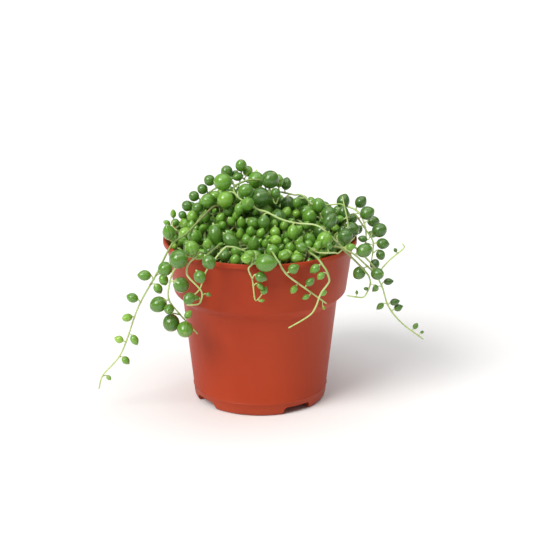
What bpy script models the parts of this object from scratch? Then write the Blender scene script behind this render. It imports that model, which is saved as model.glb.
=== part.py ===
"""A string of pearls in its nursery pot.

Metres, +Z up. The origin is on the ground under the middle of the pot, whose front faces -Y.
The plant is a set of strands. Each is one stem that rises from the soil and carries round leaves,
the pearls. Some are guided by hand, some hang over the back, and the rest fill the mound.
Design values are in millimetres, and MM turns them into metres.
"""

import math
import random

import bmesh
import bpy
import numpy as np
from mathutils import Matrix, Vector

MM = 0.001
GAP = 0.3

# pot
RIM_RADIUS = 53.0
RIM_HEIGHT = 91.0
POT_TURNS = 40
NOTCH_ANGLES = (34.0, 124.0, 214.0, 304.0)
NOTCH_WIDTH = 17.0
NOTCH_HEIGHT = 4.0
NOTCH_DEPTH = 8.0
NOTCH_BEVEL = 2.4
FOOT_RADIUS = 35.4
DRAIN_HOLES = 5
DRAIN_RADIUS = 3.5
DRAIN_RING = 21.0
FLOOR_MIDDLE = 5.2

# soil
SOIL_TOP = 84.0

# plant
STEM_RADIUS = 0.65
STEM_ROOM = 1.45
PETIOLE = 1.3
STEP = 3.0
GOLDEN_ANGLE = math.radians(137.508)
SEED = 44
SETTLE_ROUNDS = 420
GUIDED_FREEDOM = 0.35
PLACED_FREEDOM = 0.2
FILLER_FREEDOM = 1.0
LEAF_ROOM = 0.8
END_SHARE = 0.8
THINNING = 0.5
SEPARATE_ROUNDS = 60

# Each guided strand: its name, the corners of its route, and its leaves. A leaf has its distance
# along the route, the hour of the clock face it points to as seen from the front, how far it
# leans forward (0 to 1, negative is backward), and its diameter.
GUIDED = [
    ("strand_left_long",
     [(-12, -2, 86), (-17, -4, 104), (-25, -9, 110), (-37, -27, 102), (-46, -35, 97), (-54, -37, 82),
      (-63, -35, 66), (-69, -33, 50), (-75, -30, 34), (-85, -27, 21), (-88, -26, 12)],
     [(52, 6, 0, 7), (66, 11, 0, 7.6), (80, 3, 0.9, 7.6),
      (86, 4, 0, 5.5), (89, 10, 0, 6.2), (93, 4, 0, 5.3), (105, 10, 0, 5.6), (113, 9, 0.5, 5),
      (124, 4, 0.5, 5), (128, 9, 0, 4.4), (140, 4, 0, 4.4), (155, 4, 0, 2.8)]),
    ("strand_left_cluster",
     [(-20, -22, 86), (-21, -33, 96), (-29, -45, 93), (-40, -46, 91), (-46, -46, 84),
      (-48, -43, 70), (-45, -42, 64), (-37, -42, 54), (-33, -43, 50)],
     [(24, 11, 0, 4.7), (35, 12, 0.3, 7.7), (40, 12, 0.7, 10), (57, 3, 0, 8.4), (67, 8, 0, 8.8),
      (70, 8, 0.9, 5.8), (79, 2, 0.4, 4.2), (80, 8, 0.2, 9.2), (85, 9, 0.9, 8.8)]),
    ("strand_left_loop",
     [(-24, -34, 86), (-31, -44, 95), (-37, -49, 92), (-38, -51, 86), (-36, -52, 83),
      (-32, -53, 79), (-30, -53, 75), (-32, -53, 70), (-38, -52, 69)],
     [(17, 11, 0, 3.7), (45, 3, 0, 2.4), (50, 11, 0, 3), (53, 12, 0, 2.4)]),
    ("strand_front_beads",
     [(-8, -38, 86), (-7, -44, 95), (-17, -47, 99), (-23, -52, 94), (-28, -55, 88),
      (-31, -55, 79), (-34, -54, 75)],
     [(35, 10, 0.9, 7.2), (43, 10, 0.9, 6.4), (56, 9, 0.9, 6.4)]),
    ("strand_front_centre",
     [(4, -36, 86), (2, -44, 93), (-4, -55, 92), (-6, -56, 90), (-4, -56, 85), (-3, -55, 75),
      (-2, -54, 72), (0, -54, 74)],
     [(17, 10, 0, 6), (20, 3, 0.5, 10), (25, 11, 0.2, 5.5), (33, 2, 0.2, 5.7),
      (36, 3, 0.3, 3.4), (44, 3, 0, 2.2), (49, 1, 0, 4)]),
    ("strand_front_right",
     [(8, -40, 86), (6, -45, 96), (11, -54, 90), (15, -54, 85), (24, -50, 77), (35, -41, 66)],
     [(28, 2, 0, 5.4), (37, 7, 0, 4), (42, 1, 0, 4.4), (45, 7, 0, 3.2),
      (56, 1, 0, 3.4), (62, 7, 0, 1.8)]),
    ("strand_front_bare",
     [(22, -34, 86), (26, -40, 94), (33, -49, 89), (36, -48, 81), (32, -49, 75),
      (27, -48, 63), (15, -51, 56)],
     [(11, 10, 0, 6), (22, 8, 0, 5), (27, 8, 0, 4)]),
    ("strand_crossing",
     [(4, 10, 86), (6, 9, 112), (1, 5, 121), (-5, 1, 123), (-14, -4, 120), (-12, -10, 116),
      (-1, -18, 111), (16, -25, 106), (30, -28, 105), (41, -33, 97), (49, -33, 91),
      (59, -28, 80), (65, -24, 71), (69, -20, 58), (78, -14, 45), (90, -8, 34)],
     [(56, 10, 0, 9.6), (62, 2, 0, 7.5), (64, 8, 0, 8.9), (69, 7, 0, 5.7), (72, 0, 0.95, 7.2),
      (84, 7, 0, 7), (100, 6, 0.5, 6.7), (117, 6, 0.4, 8.4),
      (118, 1, 0, 7.9), (126, 2, 0, 7.4), (140, 1, 0.2, 7.8), (149, 8, 0.3, 7), (152, 2, 0, 5.7),
      (154, 2, 0.8, 7), (163, 2, 0, 4.3), (164, 8, 0, 3.5), (175, 8, 0, 3.8), (178, 2, 0, 4.4),
      (182, 2, 0, 4.3), (203, 1, 0, 3.2), (209, 1, 0, 1.8)]),
    ("strand_right_curl",
     [(32, -20, 86), (40, -25, 96), (48, -30, 96), (56, -31, 88), (63, -28, 79), (65, -26, 82),
      (71, -24, 86), (77, -22, 91), (76, -22, 93)],
     [(18, 12, 0, 5), (59, 12, 0, 2.2)]),
    ("strand_right_twig",
     [(29, -25, 86), (36, -32, 95), (42, -37, 95), (50, -37, 88), (58, -33, 79), (58, -33, 72),
      (54, -34, 67), (46, -37, 69)],
     [(12, 10, 0, 5), (24, 2, 0, 4), (51, 4, 0, 2.8), (57, 0, 0, 2.2), (63, 0, 0, 1.8)]),
    ("strand_right_upright",
     [(36, -12, 86), (41, -22, 99), (45, -20, 101), (47, -18, 103), (44, -14, 117)],
     [(12, 9, 0, 5), (28, 9, 0, 3.7)]),
    ("strand_right_drop",
     [(38, 0, 86), (50, -4, 104), (54, -6, 101), (58, -10, 96), (61, -13, 91), (60, -16, 81)],
     [(20, 10, 0, 6), (26, 2, 0, 7.6), (28, 8, 0, 8.8), (37, 2, 0, 8), (39, 8, 0, 4.3),
      (43, 3, 0, 6.3), (45, 9, 0, 4.3), (47, 3, 0, 5.3)]),
    ("strand_right_crown",
     [(34, 14, 86), (44, 16, 102), (52, 12, 103), (57, 5, 98), (58, -2, 91), (57, -6, 84)],
     [(14, 10, 0, 7), (19, 1, 0, 7.6), (25, 7, 0.5, 7), (29, 1, 0, 6.6), (34, 8, 0, 6),
      (38, 3, 0, 6.4), (43, 8, 0, 5), (46, 4, 0, 4)]),
    ("strand_skyline_right",
     [(10, 12, 86), (8, 8, 112), (17, 5, 113), (23, 4, 113), (30, 2, 108), (42, 1, 109),
      (46, 0, 108)],
     [(33, 0, 0, 6.2), (39, 7, 0, 8.6), (46, 6, 0, 7.6), (70, 6, 0, 6.6)]),
    ("strand_left_shoot",
     [(-42, 2, 86), (-45, -4, 95), (-47.5, -4, 98), (-47, -4, 101)],
     [(14, 10, 0, 3.4), (17, 0, 0, 4)]),
    ("strand_rim_runner",
     [(20, -30, 86), (23, -37, 96), (29, -40, 94), (39, -41, 94), (43, -36, 94), (50, -28, 98)],
     [(13, 7, 0, 6.3), (21, 0, 0, 4.2), (28, 0, 0, 3.8)]),
]

# Each placed strand lies on the mound: its name, and the middle (x, y, z) and the diameter of each
# leaf in turn. Its stem rises from the soil and runs under its leaves.
PLACED = [
    ("strand_skyline_left",
     [(-46.5, 4, 98, 4.4), (-42.5, 6, 101, 4.6), (-40, 8, 106, 6), (-35.5, 9, 111.5, 5.8),
      (-31.5, 10, 115, 5.8), (-28, 10, 119.5, 6.2), (-18, 10, 125, 6.6), (-14, 13, 122.5, 4.6),
      (-12, 8, 122.5, 5.2), (-10, 9, 128.5, 6.6), (-6.5, 12, 124.5, 6)]),
    ("strand_mound_peak",
     [(-0.5, 5, 122, 9.2), (5.5, -4, 124, 9.8), (8.5, -8, 117.5, 5.4), (11, 4, 121, 6)]),
    ("strand_mound_crown",
     [(1, -8, 115.5, 10.2), (4.5, -7, 106.5, 6), (14.5, -3, 105, 6), (12.5, -15, 101.5, 5),
      (15, -24, 98, 5), (16, -34, 94.5, 5.2), (12.5, -45, 93.5, 6.2), (20, -45, 91.5, 6.2)]),
    ("strand_mound_left",
     [(-24, 4, 112.5, 6.2), (-28.5, -2, 111.5, 7.8), (-33, -1, 108, 5.8), (-36.5, 2, 101.5, 6.8),
      (-42, 6, 96.5, 6.4), (-40.5, -8, 95, 7)]),
    ("strand_mound_lower_left",
     [(-29.5, -5, 104, 6), (-30.5, -12, 99, 4.8), (-41, -15, 92.5, 5.4)]),
    ("strand_mound_middle",
     [(-18.5, -6, 107.5, 6), (-20.5, -10, 104, 5.4), (-16, -14, 102.5, 4.8), (-20, -16, 101, 5.4),
      (-23, -20, 98, 9), (-15, -29, 97, 8.4), (-18.5, -40, 92, 6.2)]),
    ("strand_mound_centre",
     [(-13.5, -11, 105, 4.8), (-9.5, -16, 103, 5.6), (-5, -24, 99.5, 5.4), (-10.5, -26, 98.5, 4.8),
      (-3, -34, 96, 7.4), (-12.5, -38, 93.5, 6), (-13, -45, 90, 6.2)]),
    ("strand_mound_front",
     [(-4, -16, 103, 6.6), (0, -23, 100, 5), (7.5, -16, 102, 4.8), (8, -22, 99.5, 5.6),
      (8, -31, 97, 5.8), (2.5, -33, 96.5, 4.8), (6.5, -40, 93.5, 7)]),
    ("strand_mound_shoulder",
     [(20, -2, 110.5, 5.4), (24.5, 2, 105, 7.6), (19.5, -2, 104.5, 4.4), (25, -12, 101, 5.4)]),
    ("strand_mound_right",
     [(29.5, 6, 105.5, 6), (32.5, -3, 109, 7.6), (36.5, -8, 106.5, 8), (33, -8, 101.5, 3),
      (40.5, -8, 98, 4.4), (45, 4, 98, 5)]),
    ("strand_mound_lower_right",
     [(20.5, -28, 96, 5), (29, -32, 92, 5.2), (33, -34, 92, 5), (41.5, -22, 91.5, 7)]),
]

# Strands that hang over the back: heading in degrees from +X, drop below the rim, largest leaf.
TRAILING = [(34, 24, 6.5), (55, 46, 7.5), (75, 30, 7.0), (93, 56, 7.5), (112, 36, 7.0), (131, 44, 7.5)]
HANGING_TURN = math.radians(158.0)

# Strands that fill the mound as arms of a sunflower spiral, on top and one layer down.
ARM_SPREAD = 4.35
TOP_ARMS = 13
TOP_LEAVES = 130
TOP_DEPTH = 3.6
DEEP_ARMS = 8
DEEP_LEAVES = 48
DEEP_DEPTH = 12.0
LARGEST_RING = 46.5
LEAF_DIAMETERS = (5.4, 6.2, 6.8, 7.4, 8.2, 9.2)


# ---- layout of the plant ----

def mound_height(x, y):
    """The height of the mound: a dome, its peak left of the middle, and a shoulder on each side."""
    dome = 15.0 * (1.0 - (x * x + y * y) / 52.0 ** 2)
    peak = 14.0 * math.exp(-((x + 8.0) / 20.0) ** 2 - ((y - 8.0) / 18.0) ** 2)
    right_shoulder = 9.0 * math.exp(-((x - 36.0) / 16.0) ** 2 - ((y - 5.0) / 20.0) ** 2)
    left_shoulder = 7.0 * math.exp(-((x + 30.0) / 14.0) ** 2 - ((y - 8.0) / 16.0) ** 2)
    return RIM_HEIGHT + dome + peak + right_shoulder + left_shoulder


def length_of(vectors):
    return np.sqrt((vectors * vectors).sum(axis=-1))


def unit(vector):
    return vector / length_of(vector)


def smooth_path(corners, step):
    """Points about a step apart on a smooth curve through the corners."""
    corners = np.array(corners, float)
    first = 2 * corners[0] - corners[1]
    last = 2 * corners[-1] - corners[-2]
    knots = np.vstack([first, corners, last])
    fine = []
    for before, start, stop, after in zip(knots, knots[1:], knots[2:], knots[3:]):
        for t in np.arange(20) / 20.0:
            slope = (stop - before) * t
            bend = (2 * before - 5 * start + 4 * stop - after) * t ** 2
            twist = (3 * start - before - 3 * stop + after) * t ** 3
            fine.append(0.5 * (2 * start + slope + bend + twist))
    fine = np.array(fine + [corners[-1]])
    along = distances_along(fine)
    marks = np.linspace(0.0, along[-1], max(3, round(along[-1] / step) + 1))
    return np.stack([np.interp(marks, along, fine[:, axis]) for axis in range(3)], axis=1)


def distances_along(path):
    return np.concatenate([[0.0], np.cumsum(length_of(path[1:] - path[:-1]))])


def clock_direction(hour, forward):
    angle = math.radians(30.0 * hour)
    flat = math.sqrt(1.0 - forward ** 2)
    return np.array([flat * math.sin(angle), -forward, flat * math.cos(angle)])


class Strand:
    """A stem's path and its leaves, each a node of the path, a direction and a diameter."""

    def __init__(self, name, path, leaves, freedom):
        self.name = name
        self.path = path
        self.leaves = leaves
        self.freedom = freedom

    def leaf_place(self, node, direction, diameter):
        """The middle of a leaf: at a stalk's length in a unit direction, or at a given offset."""
        reach = STEM_RADIUS + PETIOLE + diameter / 2 if length_of(direction) < 1.001 else 1.0
        return self.path[node] + direction * reach


def guided_strands():
    strands = []
    for name, corners, leaves in GUIDED:
        path = smooth_path(corners, STEP)
        along = distances_along(path)
        placed = []
        for distance, hour, forward, diameter in leaves:
            node = int(np.argmin(np.abs(along - distance)))
            placed.append((node, clock_direction(hour, forward), diameter))
        strands.append(Strand(name, path, placed, GUIDED_FREEDOM))
    return strands


def trailing_strands(chance):
    """Strands that climb over the back of the rim and hang down outside the pot."""
    strands = []
    for number, (heading, drop, largest) in enumerate(TRAILING, start=1):
        angle = math.radians(heading)
        out = np.array([math.cos(angle), math.sin(angle), 0.0])
        side = np.array([-math.sin(angle), math.cos(angle), 0.0])
        up = np.array([0.0, 0.0, 1.0])
        sway = side * chance.uniform(-7.0, 7.0)
        corners = [out * 30 + up * 86, out * 44 + up * 97, out * 54 + up * 95.5,
                   out * 57.5 + sway * 0.3 + up * 88,
                   out * 56.5 + sway * 0.6 + up * (RIM_HEIGHT - 0.6 * drop),
                   out * 58.5 + sway + up * (RIM_HEIGHT - drop)]
        path = smooth_path(corners, STEP)
        turn = chance.uniform(0.0, 2 * math.pi)
        leaves = []
        for node in range(3, len(path), 2):
            done = node / (len(path) - 1)
            turn += HANGING_TURN
            direction = out * (0.75 + 0.2 * math.cos(turn)) + side * 1.1 * math.sin(turn) + up * 0.35
            taper = 1.0 - 0.62 * done ** 1.5
            leaves.append((node, unit(direction), largest * taper * chance.uniform(0.8, 1.08)))
        strands.append(Strand(f"strand_back_{number}", path, leaves, GUIDED_FREEDOM))
    return strands


def stem_under(root_ring, spots):
    """The path of a stem that rises from the soil and runs under leaves at the given spots."""
    towards = spots[min(2, len(spots) - 1)][0]
    root = unit(towards[:2]) * root_ring
    corners = [np.array([root[0], root[1], SOIL_TOP + 1.5])]
    for spot, diameter in spots:
        low = max(spot[2] - diameter / 2 - PETIOLE - 2.2, SOIL_TOP + 2.0)
        corners.append(np.array([spot[0], spot[1], low]))
    return smooth_path(corners, STEP)


def placed_strands():
    strands = []
    for name, leaves in PLACED:
        spots = [(np.array([x, y, z], float), diameter) for x, y, z, diameter in leaves]
        path = stem_under(0.75 * length_of(spots[0][0][:2]), spots)
        hung = []
        for spot, diameter in spots:
            node = int(np.argmin(length_of(path - spot)))
            hung.append((node, spot - path[node], diameter))
        strands.append(Strand(name, path, hung, PLACED_FREEDOM))
    return strands


def arm_strands(layer, arms, leaf_count, depth, taken, chance):
    """Strands along the spiral arms of one layer, which leave out the leaves whose place is taken."""
    strands = []
    for arm in range(arms):
        spots = []
        for k in range(arm, leaf_count, arms):
            ring = min(ARM_SPREAD * math.sqrt(k + 0.6), LARGEST_RING)
            angle = k * GOLDEN_ANGLE + depth * 0.1
            x = ring * math.cos(angle) + chance.uniform(-1.3, 1.3)
            y = ring * math.sin(angle) + chance.uniform(-1.3, 1.3)
            diameter = chance.choice(LEAF_DIAMETERS)
            spot = np.array([x, y, mound_height(x, y) - depth])
            room = LEAF_ROOM * (taken[:, 3] + diameter) / 2
            if (length_of(taken[:, :3] - spot) > room).all():
                spots.append((spot, diameter))
        path = stem_under(8.0 + 26.0 * ((arm * 0.618) % 1.0), spots)
        leaves = []
        for spot, diameter in spots:
            node = int(np.argmin(length_of(path - spot)))
            lean = np.array([chance.uniform(-0.7, 0.7), chance.uniform(-0.7, 0.7), 0.0])
            leaves.append((node, unit(unit(spot - path[node]) + lean), diameter))
        strands.append(Strand(f"strand_{layer}_{arm + 1}", path, leaves, FILLER_FREEDOM))
    return strands


class Crowd:
    """All stem points and leaves as balls that may not overlap, with links along the stems."""

    def __init__(self, strands):
        places, radii, owners, nodes, leaf, freedom, links = [], [], [], [], [], [], []
        for owner, strand in enumerate(strands):
            start = len(places)
            for node, point in enumerate(strand.path):
                if node > 0:
                    links.append((len(places) - 1, len(places), 1.0))
                if node > 1:
                    links.append((len(places) - 2, len(places), 0.35))
                places.append(point)
                radii.append(STEM_ROOM)
                nodes.append(node)
                leaf.append(False)
            for node, direction, diameter in strand.leaves:
                links.append((start + node, len(places), 1.0))
                places.append(strand.leaf_place(node, direction, diameter))
                radii.append(diameter / 2 + GAP / 2)
                nodes.append(node)
                leaf.append(True)
            owners += [owner] * (len(places) - start)
            freedom += [strand.freedom] * (len(places) - start)
        self.places = np.array(places)
        self.radii = np.array(radii)
        self.owners = np.array(owners)
        self.nodes = np.array(nodes)
        self.leaf = np.array(leaf)
        self.freedom = np.array(freedom)
        self.link_from = np.array([link[0] for link in links])
        self.link_to = np.array([link[1] for link in links])
        self.link_strength = np.array([link[2] for link in links])

    def close_pairs(self, margin):
        """Pairs of balls that touch or nearly touch, apart from neighbours on one stem."""
        order = np.argsort(self.places[:, 0], kind="stable")
        xs = self.places[order, 0]
        ends = np.searchsorted(xs, xs + 2 * self.radii.max() + margin, side="right")
        pairs_from, pairs_to = [], []
        for position, one in enumerate(order):
            others = order[position + 1:ends[position]]
            room = self.radii[others] + self.radii[one] + margin
            others = others[length_of(self.places[others] - self.places[one]) < room]
            pairs_from.append(np.full(len(others), one))
            pairs_to.append(others)
        one = np.concatenate(pairs_from)
        other = np.concatenate(pairs_to)
        neighbours = (self.owners[one] == self.owners[other]) & ~(self.leaf[one] & self.leaf[other])
        neighbours &= np.abs(self.nodes[one] - self.nodes[other]) < 4
        return one[~neighbours], other[~neighbours]

    def corrections(self, one, other, wanted, strength, only_push):
        """How far each ball moves so that its pairs come to their wanted distances."""
        delta = self.places[other] - self.places[one]
        distance = length_of(delta) + 1e-9
        error = (wanted - distance) * strength
        if only_push:
            error = np.maximum(error, 0.0)
        used = (error != 0.0).astype(float)
        share = error / (self.freedom[one] + self.freedom[other]) / distance
        moves = np.zeros_like(self.places)
        size = len(self.places)
        for axis in range(3):
            amount = delta[:, axis] * share
            moves[:, axis] += np.bincount(other, amount * self.freedom[other], size)
            moves[:, axis] -= np.bincount(one, amount * self.freedom[one], size)
        return moves, np.bincount(one, used, size) + np.bincount(other, used, size)

    def keep_off_pot(self):
        """Moves balls out of the lip, the wall and the soil."""
        around = length_of(self.places[:, :2]) + 1e-9
        height = self.places[:, 2]
        room = self.radii + GAP / 2
        lip_ring, lip_height, lip_tube = RIM_RADIUS - 1.0, RIM_HEIGHT - 1.0, 1.15
        from_lip = np.sqrt((around - lip_ring) ** 2 + (height - lip_height) ** 2) + 1e-9
        stretch = np.maximum((room + lip_tube) / from_lip, 1.0)
        radius = lip_ring + (around - lip_ring) * stretch
        height = lip_height + (height - lip_height) * stretch
        low = height < RIM_HEIGHT
        outside = around > lip_ring
        wall_heights, wall_radii = zip(*OUTER_WALL[::-1])
        outer = np.interp(height, wall_heights, wall_radii) + room
        radius = np.where(low & outside, np.maximum(radius, outer), radius)
        inner = RIM_RADIUS - 2.6 - room - 0.12 * np.clip(RIM_HEIGHT - height, 0.0, 7.0)
        radius = np.where(low & ~outside, np.minimum(radius, inner), radius)
        height = np.where(outside, height, np.maximum(height, SOIL_TOP + room))
        self.places[:, 0] *= radius / around
        self.places[:, 1] *= radius / around
        self.places[:, 2] = height

    def settle(self):
        """Pushes overlapping balls apart while they are drawn, less and less, to their places."""
        targets = self.places.copy()
        rest = length_of(self.places[self.link_to] - self.places[self.link_from])
        for number in range(SETTLE_ROUNDS):
            if number % 10 == 0:
                one, other = self.close_pairs(2.0)
            wanted = self.radii[one] + self.radii[other]
            pushed, push_count = self.corrections(one, other, wanted, 1.0, True)
            linked, link_count = self.corrections(self.link_from, self.link_to, rest,
                                                  self.link_strength, False)
            shared = np.maximum(push_count + link_count, 1.0)
            self.places += 1.5 * (pushed + linked) / shared[:, None]
            pull = 0.03 * max(0.0, 1.0 - number / (0.75 * SETTLE_ROUNDS))
            self.places += (targets - self.places) * pull
            self.keep_off_pot()


def nearest_on_path(path, point):
    """The point of a path of straight runs that is nearest to a point, and short of its end."""
    runs = path[1:] - path[:-1]
    share = ((point - path[:-1]) * runs).sum(axis=1) / (runs * runs).sum(axis=1)
    most = np.ones(len(runs))
    most[-1] = END_SHARE
    feet = path[:-1] + runs * np.clip(share, 0.0, most)[:, None]
    return feet[np.argmin(length_of(feet - point))]


def thinned(path, tolerance):
    """The fewest points of a path whose straight runs stay within a tolerance of all its points."""
    kept = [0]
    for end in range(2, len(path)):
        start = kept[-1]
        run = path[end] - path[start]
        between = path[start + 1:end] - path[start]
        share = (between * run).sum(axis=1) / (run * run).sum()
        if length_of(between - run * share[:, None]).max() > tolerance:
            kept.append(end - 1)
    return path[kept + [len(path) - 1]]


def nearest_shares(starts, runs, other_starts, other_runs):
    """Where each run comes nearest to its other run, as a share of both lengths."""
    offset = starts - other_starts
    own = (runs * runs).sum(axis=1)
    both = (runs * other_runs).sum(axis=1)
    other = (other_runs * other_runs).sum(axis=1)
    own_offset = (runs * offset).sum(axis=1)
    other_offset = (other_runs * offset).sum(axis=1)
    spread = np.maximum(own * other - both * both, 1e-9)
    share = np.clip((both * other_offset - other * own_offset) / spread, 0.0, 1.0)
    other_share = np.clip((both * share + other_offset) / other, 0.0, 1.0)
    share = np.clip((both * other_share - own_offset) / own, 0.0, 1.0)
    return share, other_share


def separate_stems(paths):
    """Moves the points of different stems apart wherever their straight runs come too close."""
    points = np.vstack(paths)
    owners = np.concatenate([np.full(len(path), number) for number, path in enumerate(paths)])
    first = np.flatnonzero(owners[:-1] == owners[1:])
    one, other = np.triu_indices(len(first), 1)
    room = 2 * STEM_RADIUS + GAP
    middles = (points[first] + points[first + 1]) / 2
    reach = length_of(points[first + 1] - points[first]) / 2
    near = length_of(middles[one] - middles[other]) < reach[one] + reach[other] + 3 * room
    near &= owners[first[one]] != owners[first[other]]
    one, other = first[one[near]], first[other[near]]
    for _ in range(SEPARATE_ROUNDS):
        runs = points[one + 1] - points[one]
        other_runs = points[other + 1] - points[other]
        share, other_share = nearest_shares(points[one], runs, points[other], other_runs)
        delta = points[other] + other_runs * other_share[:, None] - points[one] - runs * share[:, None]
        distance = length_of(delta) + 1e-9
        error = np.maximum(room - distance, 0.0)
        used = (error > 0.0).astype(float)
        push = delta * (0.6 * error / distance)[:, None]
        moves = np.zeros_like(points)
        counts = np.zeros(len(points))
        for node, sign in ((one, -1.0), (one + 1, -1.0), (other, 1.0), (other + 1, 1.0)):
            counts += np.bincount(node, used, len(points))
            for axis in range(3):
                moves[:, axis] += sign * np.bincount(node, push[:, axis], len(points))
        points = points + moves / np.maximum(counts, 1.0)[:, None]
    return np.split(points, np.flatnonzero(owners[:-1] != owners[1:]) + 1)


def grow_plant():
    """All strands, each as (name, stem path, leaves), with a leaf as (centre, foot, radius)."""
    chance = random.Random(SEED)
    strands = guided_strands() + placed_strands() + trailing_strands(chance)
    taken = np.array([[*strand.leaf_place(*leaf), leaf[2]] for strand in strands for leaf in strand.leaves])
    strands += arm_strands("top", TOP_ARMS, TOP_LEAVES, TOP_DEPTH, taken, chance)
    strands += arm_strands("deep", DEEP_ARMS, DEEP_LEAVES, DEEP_DEPTH, taken, chance)
    crowd = Crowd(strands)
    crowd.settle()
    paths = []
    for owner in range(len(strands)):
        nodes = crowd.places[(crowd.owners == owner) & ~crowd.leaf]
        root = np.array([nodes[0][0], nodes[0][1], SOIL_TOP + GAP])
        paths.append(np.vstack([root, thinned(nodes, THINNING)]))
    paths = separate_stems(paths)
    centres = crowd.places[crowd.leaf]
    owners = crowd.owners[crowd.leaf]
    radii = fitted_radii(centres, crowd.radii[crowd.leaf] - GAP / 2, owners, paths)
    plant = []
    for owner, (strand, path) in enumerate(zip(strands, paths)):
        mine = owners == owner
        leaves = [(centre, nearest_on_path(path, centre), radius)
                  for centre, radius in zip(centres[mine], radii[mine])]
        plant.append((strand.name, path, leaves))
    return plant


def fitted_radii(centres, radii, owners, paths):
    """Leaf radii made smaller where a leaf would touch another leaf or another strand's stem."""
    apart = length_of(centres[:, None] - centres[None]) + np.eye(len(centres)) * 1000
    for _ in range(60):
        overlap = (radii[:, None] + radii[None] + GAP - apart).max(axis=1)
        radii = radii - np.maximum(overlap, 0.0) / 2
    fitted = []
    for centre, radius, owner in zip(centres, radii, owners):
        for other, path in enumerate(paths):
            if other != owner:
                clear = length_of(nearest_on_path(path, centre) - centre) - STEM_RADIUS - GAP
                radius = min(radius, clear)
        fitted.append(radius)
    return np.array(fitted)


# ---- outlines of the turned parts, as (height, radius) from the top down ----

OUTER_WALL = [(91.0, 53.0), (88.4, 53.0), (88.2, 50.9), (78.6, 49.7), (61.6, 47.2), (57.2, 42.6),
              (7.2, 37.2), (6.8, 37.4), (6.3, 37.0), (3.0, 36.8), (0.8, 36.2), (0.0, FOOT_RADIUS)]
UNDERSIDE = [(0.0, 34.2), (3.6, 33.9), (4.6, 32.9), (4.6, 0.0)]
INNER_WALL = [(5.8, 0.0), (5.8, 35.0), (7.0, 36.0), (57.6, 41.5), (62.0, 45.9), (88.2, 49.8), (90.6, 51.5)]
SOIL_WALL = [(SOIL_TOP, 0.0), (SOIL_TOP, 48.8), (62.2, 45.5), (57.8, 41.1), (7.3, 35.6), (6.1, 34.6),
             (6.1, 0.0)]


# ---- Blender objects ----

def clear_scene():
    for thing in list(bpy.data.objects):
        bpy.data.objects.remove(thing)


def new_collection(name):
    collection = bpy.data.collections.new(name)
    bpy.context.scene.collection.children.link(collection)
    return collection


def new_material(name, colour, roughness):
    material = bpy.data.materials.new(name)
    material.use_nodes = True
    shader = material.node_tree.nodes["Principled BSDF"]
    shader.inputs["Base Color"].default_value = (*colour, 1.0)
    shader.inputs["Roughness"].default_value = roughness
    shader.inputs["Metallic"].default_value = 0.0
    return material


def mesh_object(name, mesh, collection, material):
    thing = bpy.data.objects.new(name, mesh)
    collection.objects.link(thing)
    mesh.materials.clear()
    mesh.materials.append(material)
    return thing


def turned(name, outline, collection, material):
    """A solid turned about Z from an outline of (height, radius) that runs down its outer side."""
    form = bmesh.new()
    points = [form.verts.new((radius * MM, 0.0, height * MM)) for height, radius in outline]
    for start, stop in zip(points, points[1:]):
        form.edges.new((start, stop))
    mesh = bpy.data.meshes.new(name)
    form.to_mesh(mesh)
    form.free()
    thing = mesh_object(name, mesh, collection, material)
    screw = thing.modifiers.new("turn", "SCREW")
    screw.axis = "Z"
    screw.steps = POT_TURNS
    screw.render_steps = POT_TURNS
    screw.use_merge_vertices = True
    screw.merge_threshold = 0.0001
    screw.use_smooth_shade = True
    return thing


def boolean(thing, other, operation):
    modifier = thing.modifiers.new(other.name, "BOOLEAN")
    modifier.operation = operation
    modifier.solver = "EXACT"
    modifier.object = other


def hide_helper(thing):
    thing.hide_render = True
    thing.display_type = "WIRE"


def make_pot(parts, cutters, material):
    """The thin pot: one turned wall with a lip, a band and a foot, its notches and drain holes."""
    outline = INNER_WALL + OUTER_WALL + UNDERSIDE
    pot = turned("pot", outline, parts, material)
    for number, degrees in enumerate(NOTCH_ANGLES, start=1):
        angle = math.radians(degrees)
        centre = Vector((math.sin(angle), -math.cos(angle), 0.0)) * FOOT_RADIUS * MM
        notch = box(f"notch_{number}", (NOTCH_WIDTH, NOTCH_DEPTH, 2 * NOTCH_HEIGHT), cutters, material)
        notch.location = centre
        notch.rotation_euler = (0.0, 0.0, angle)
        bevel = notch.modifiers.new("rounded", "BEVEL")
        bevel.width = NOTCH_BEVEL * MM
        bevel.segments = 2
        hide_helper(notch)
        boolean(pot, notch, "DIFFERENCE")
    for number in range(DRAIN_HOLES):
        angle = 2 * math.pi * number / DRAIN_HOLES
        ring = DRAIN_RING * MM
        centre = Vector((ring * math.sin(angle), -ring * math.cos(angle), FLOOR_MIDDLE * MM))
        bpy.ops.mesh.primitive_cylinder_add(vertices=16, radius=DRAIN_RADIUS * MM, depth=4 * MM,
                                            location=centre)
        drill = bpy.context.object
        drill.name = f"drain_{number + 1}"
        move_to(drill, cutters)
        hide_helper(drill)
        boolean(pot, drill, "DIFFERENCE")


def move_to(thing, collection):
    for old in list(thing.users_collection):
        old.objects.unlink(thing)
    collection.objects.link(thing)


def box(name, size, collection, material):
    form = bmesh.new()
    bmesh.ops.create_cube(form, size=1.0)
    bmesh.ops.scale(form, vec=Vector(size) * MM, verts=form.verts)
    mesh = bpy.data.meshes.new(name)
    form.to_mesh(mesh)
    form.free()
    return mesh_object(name, mesh, collection, material)


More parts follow.
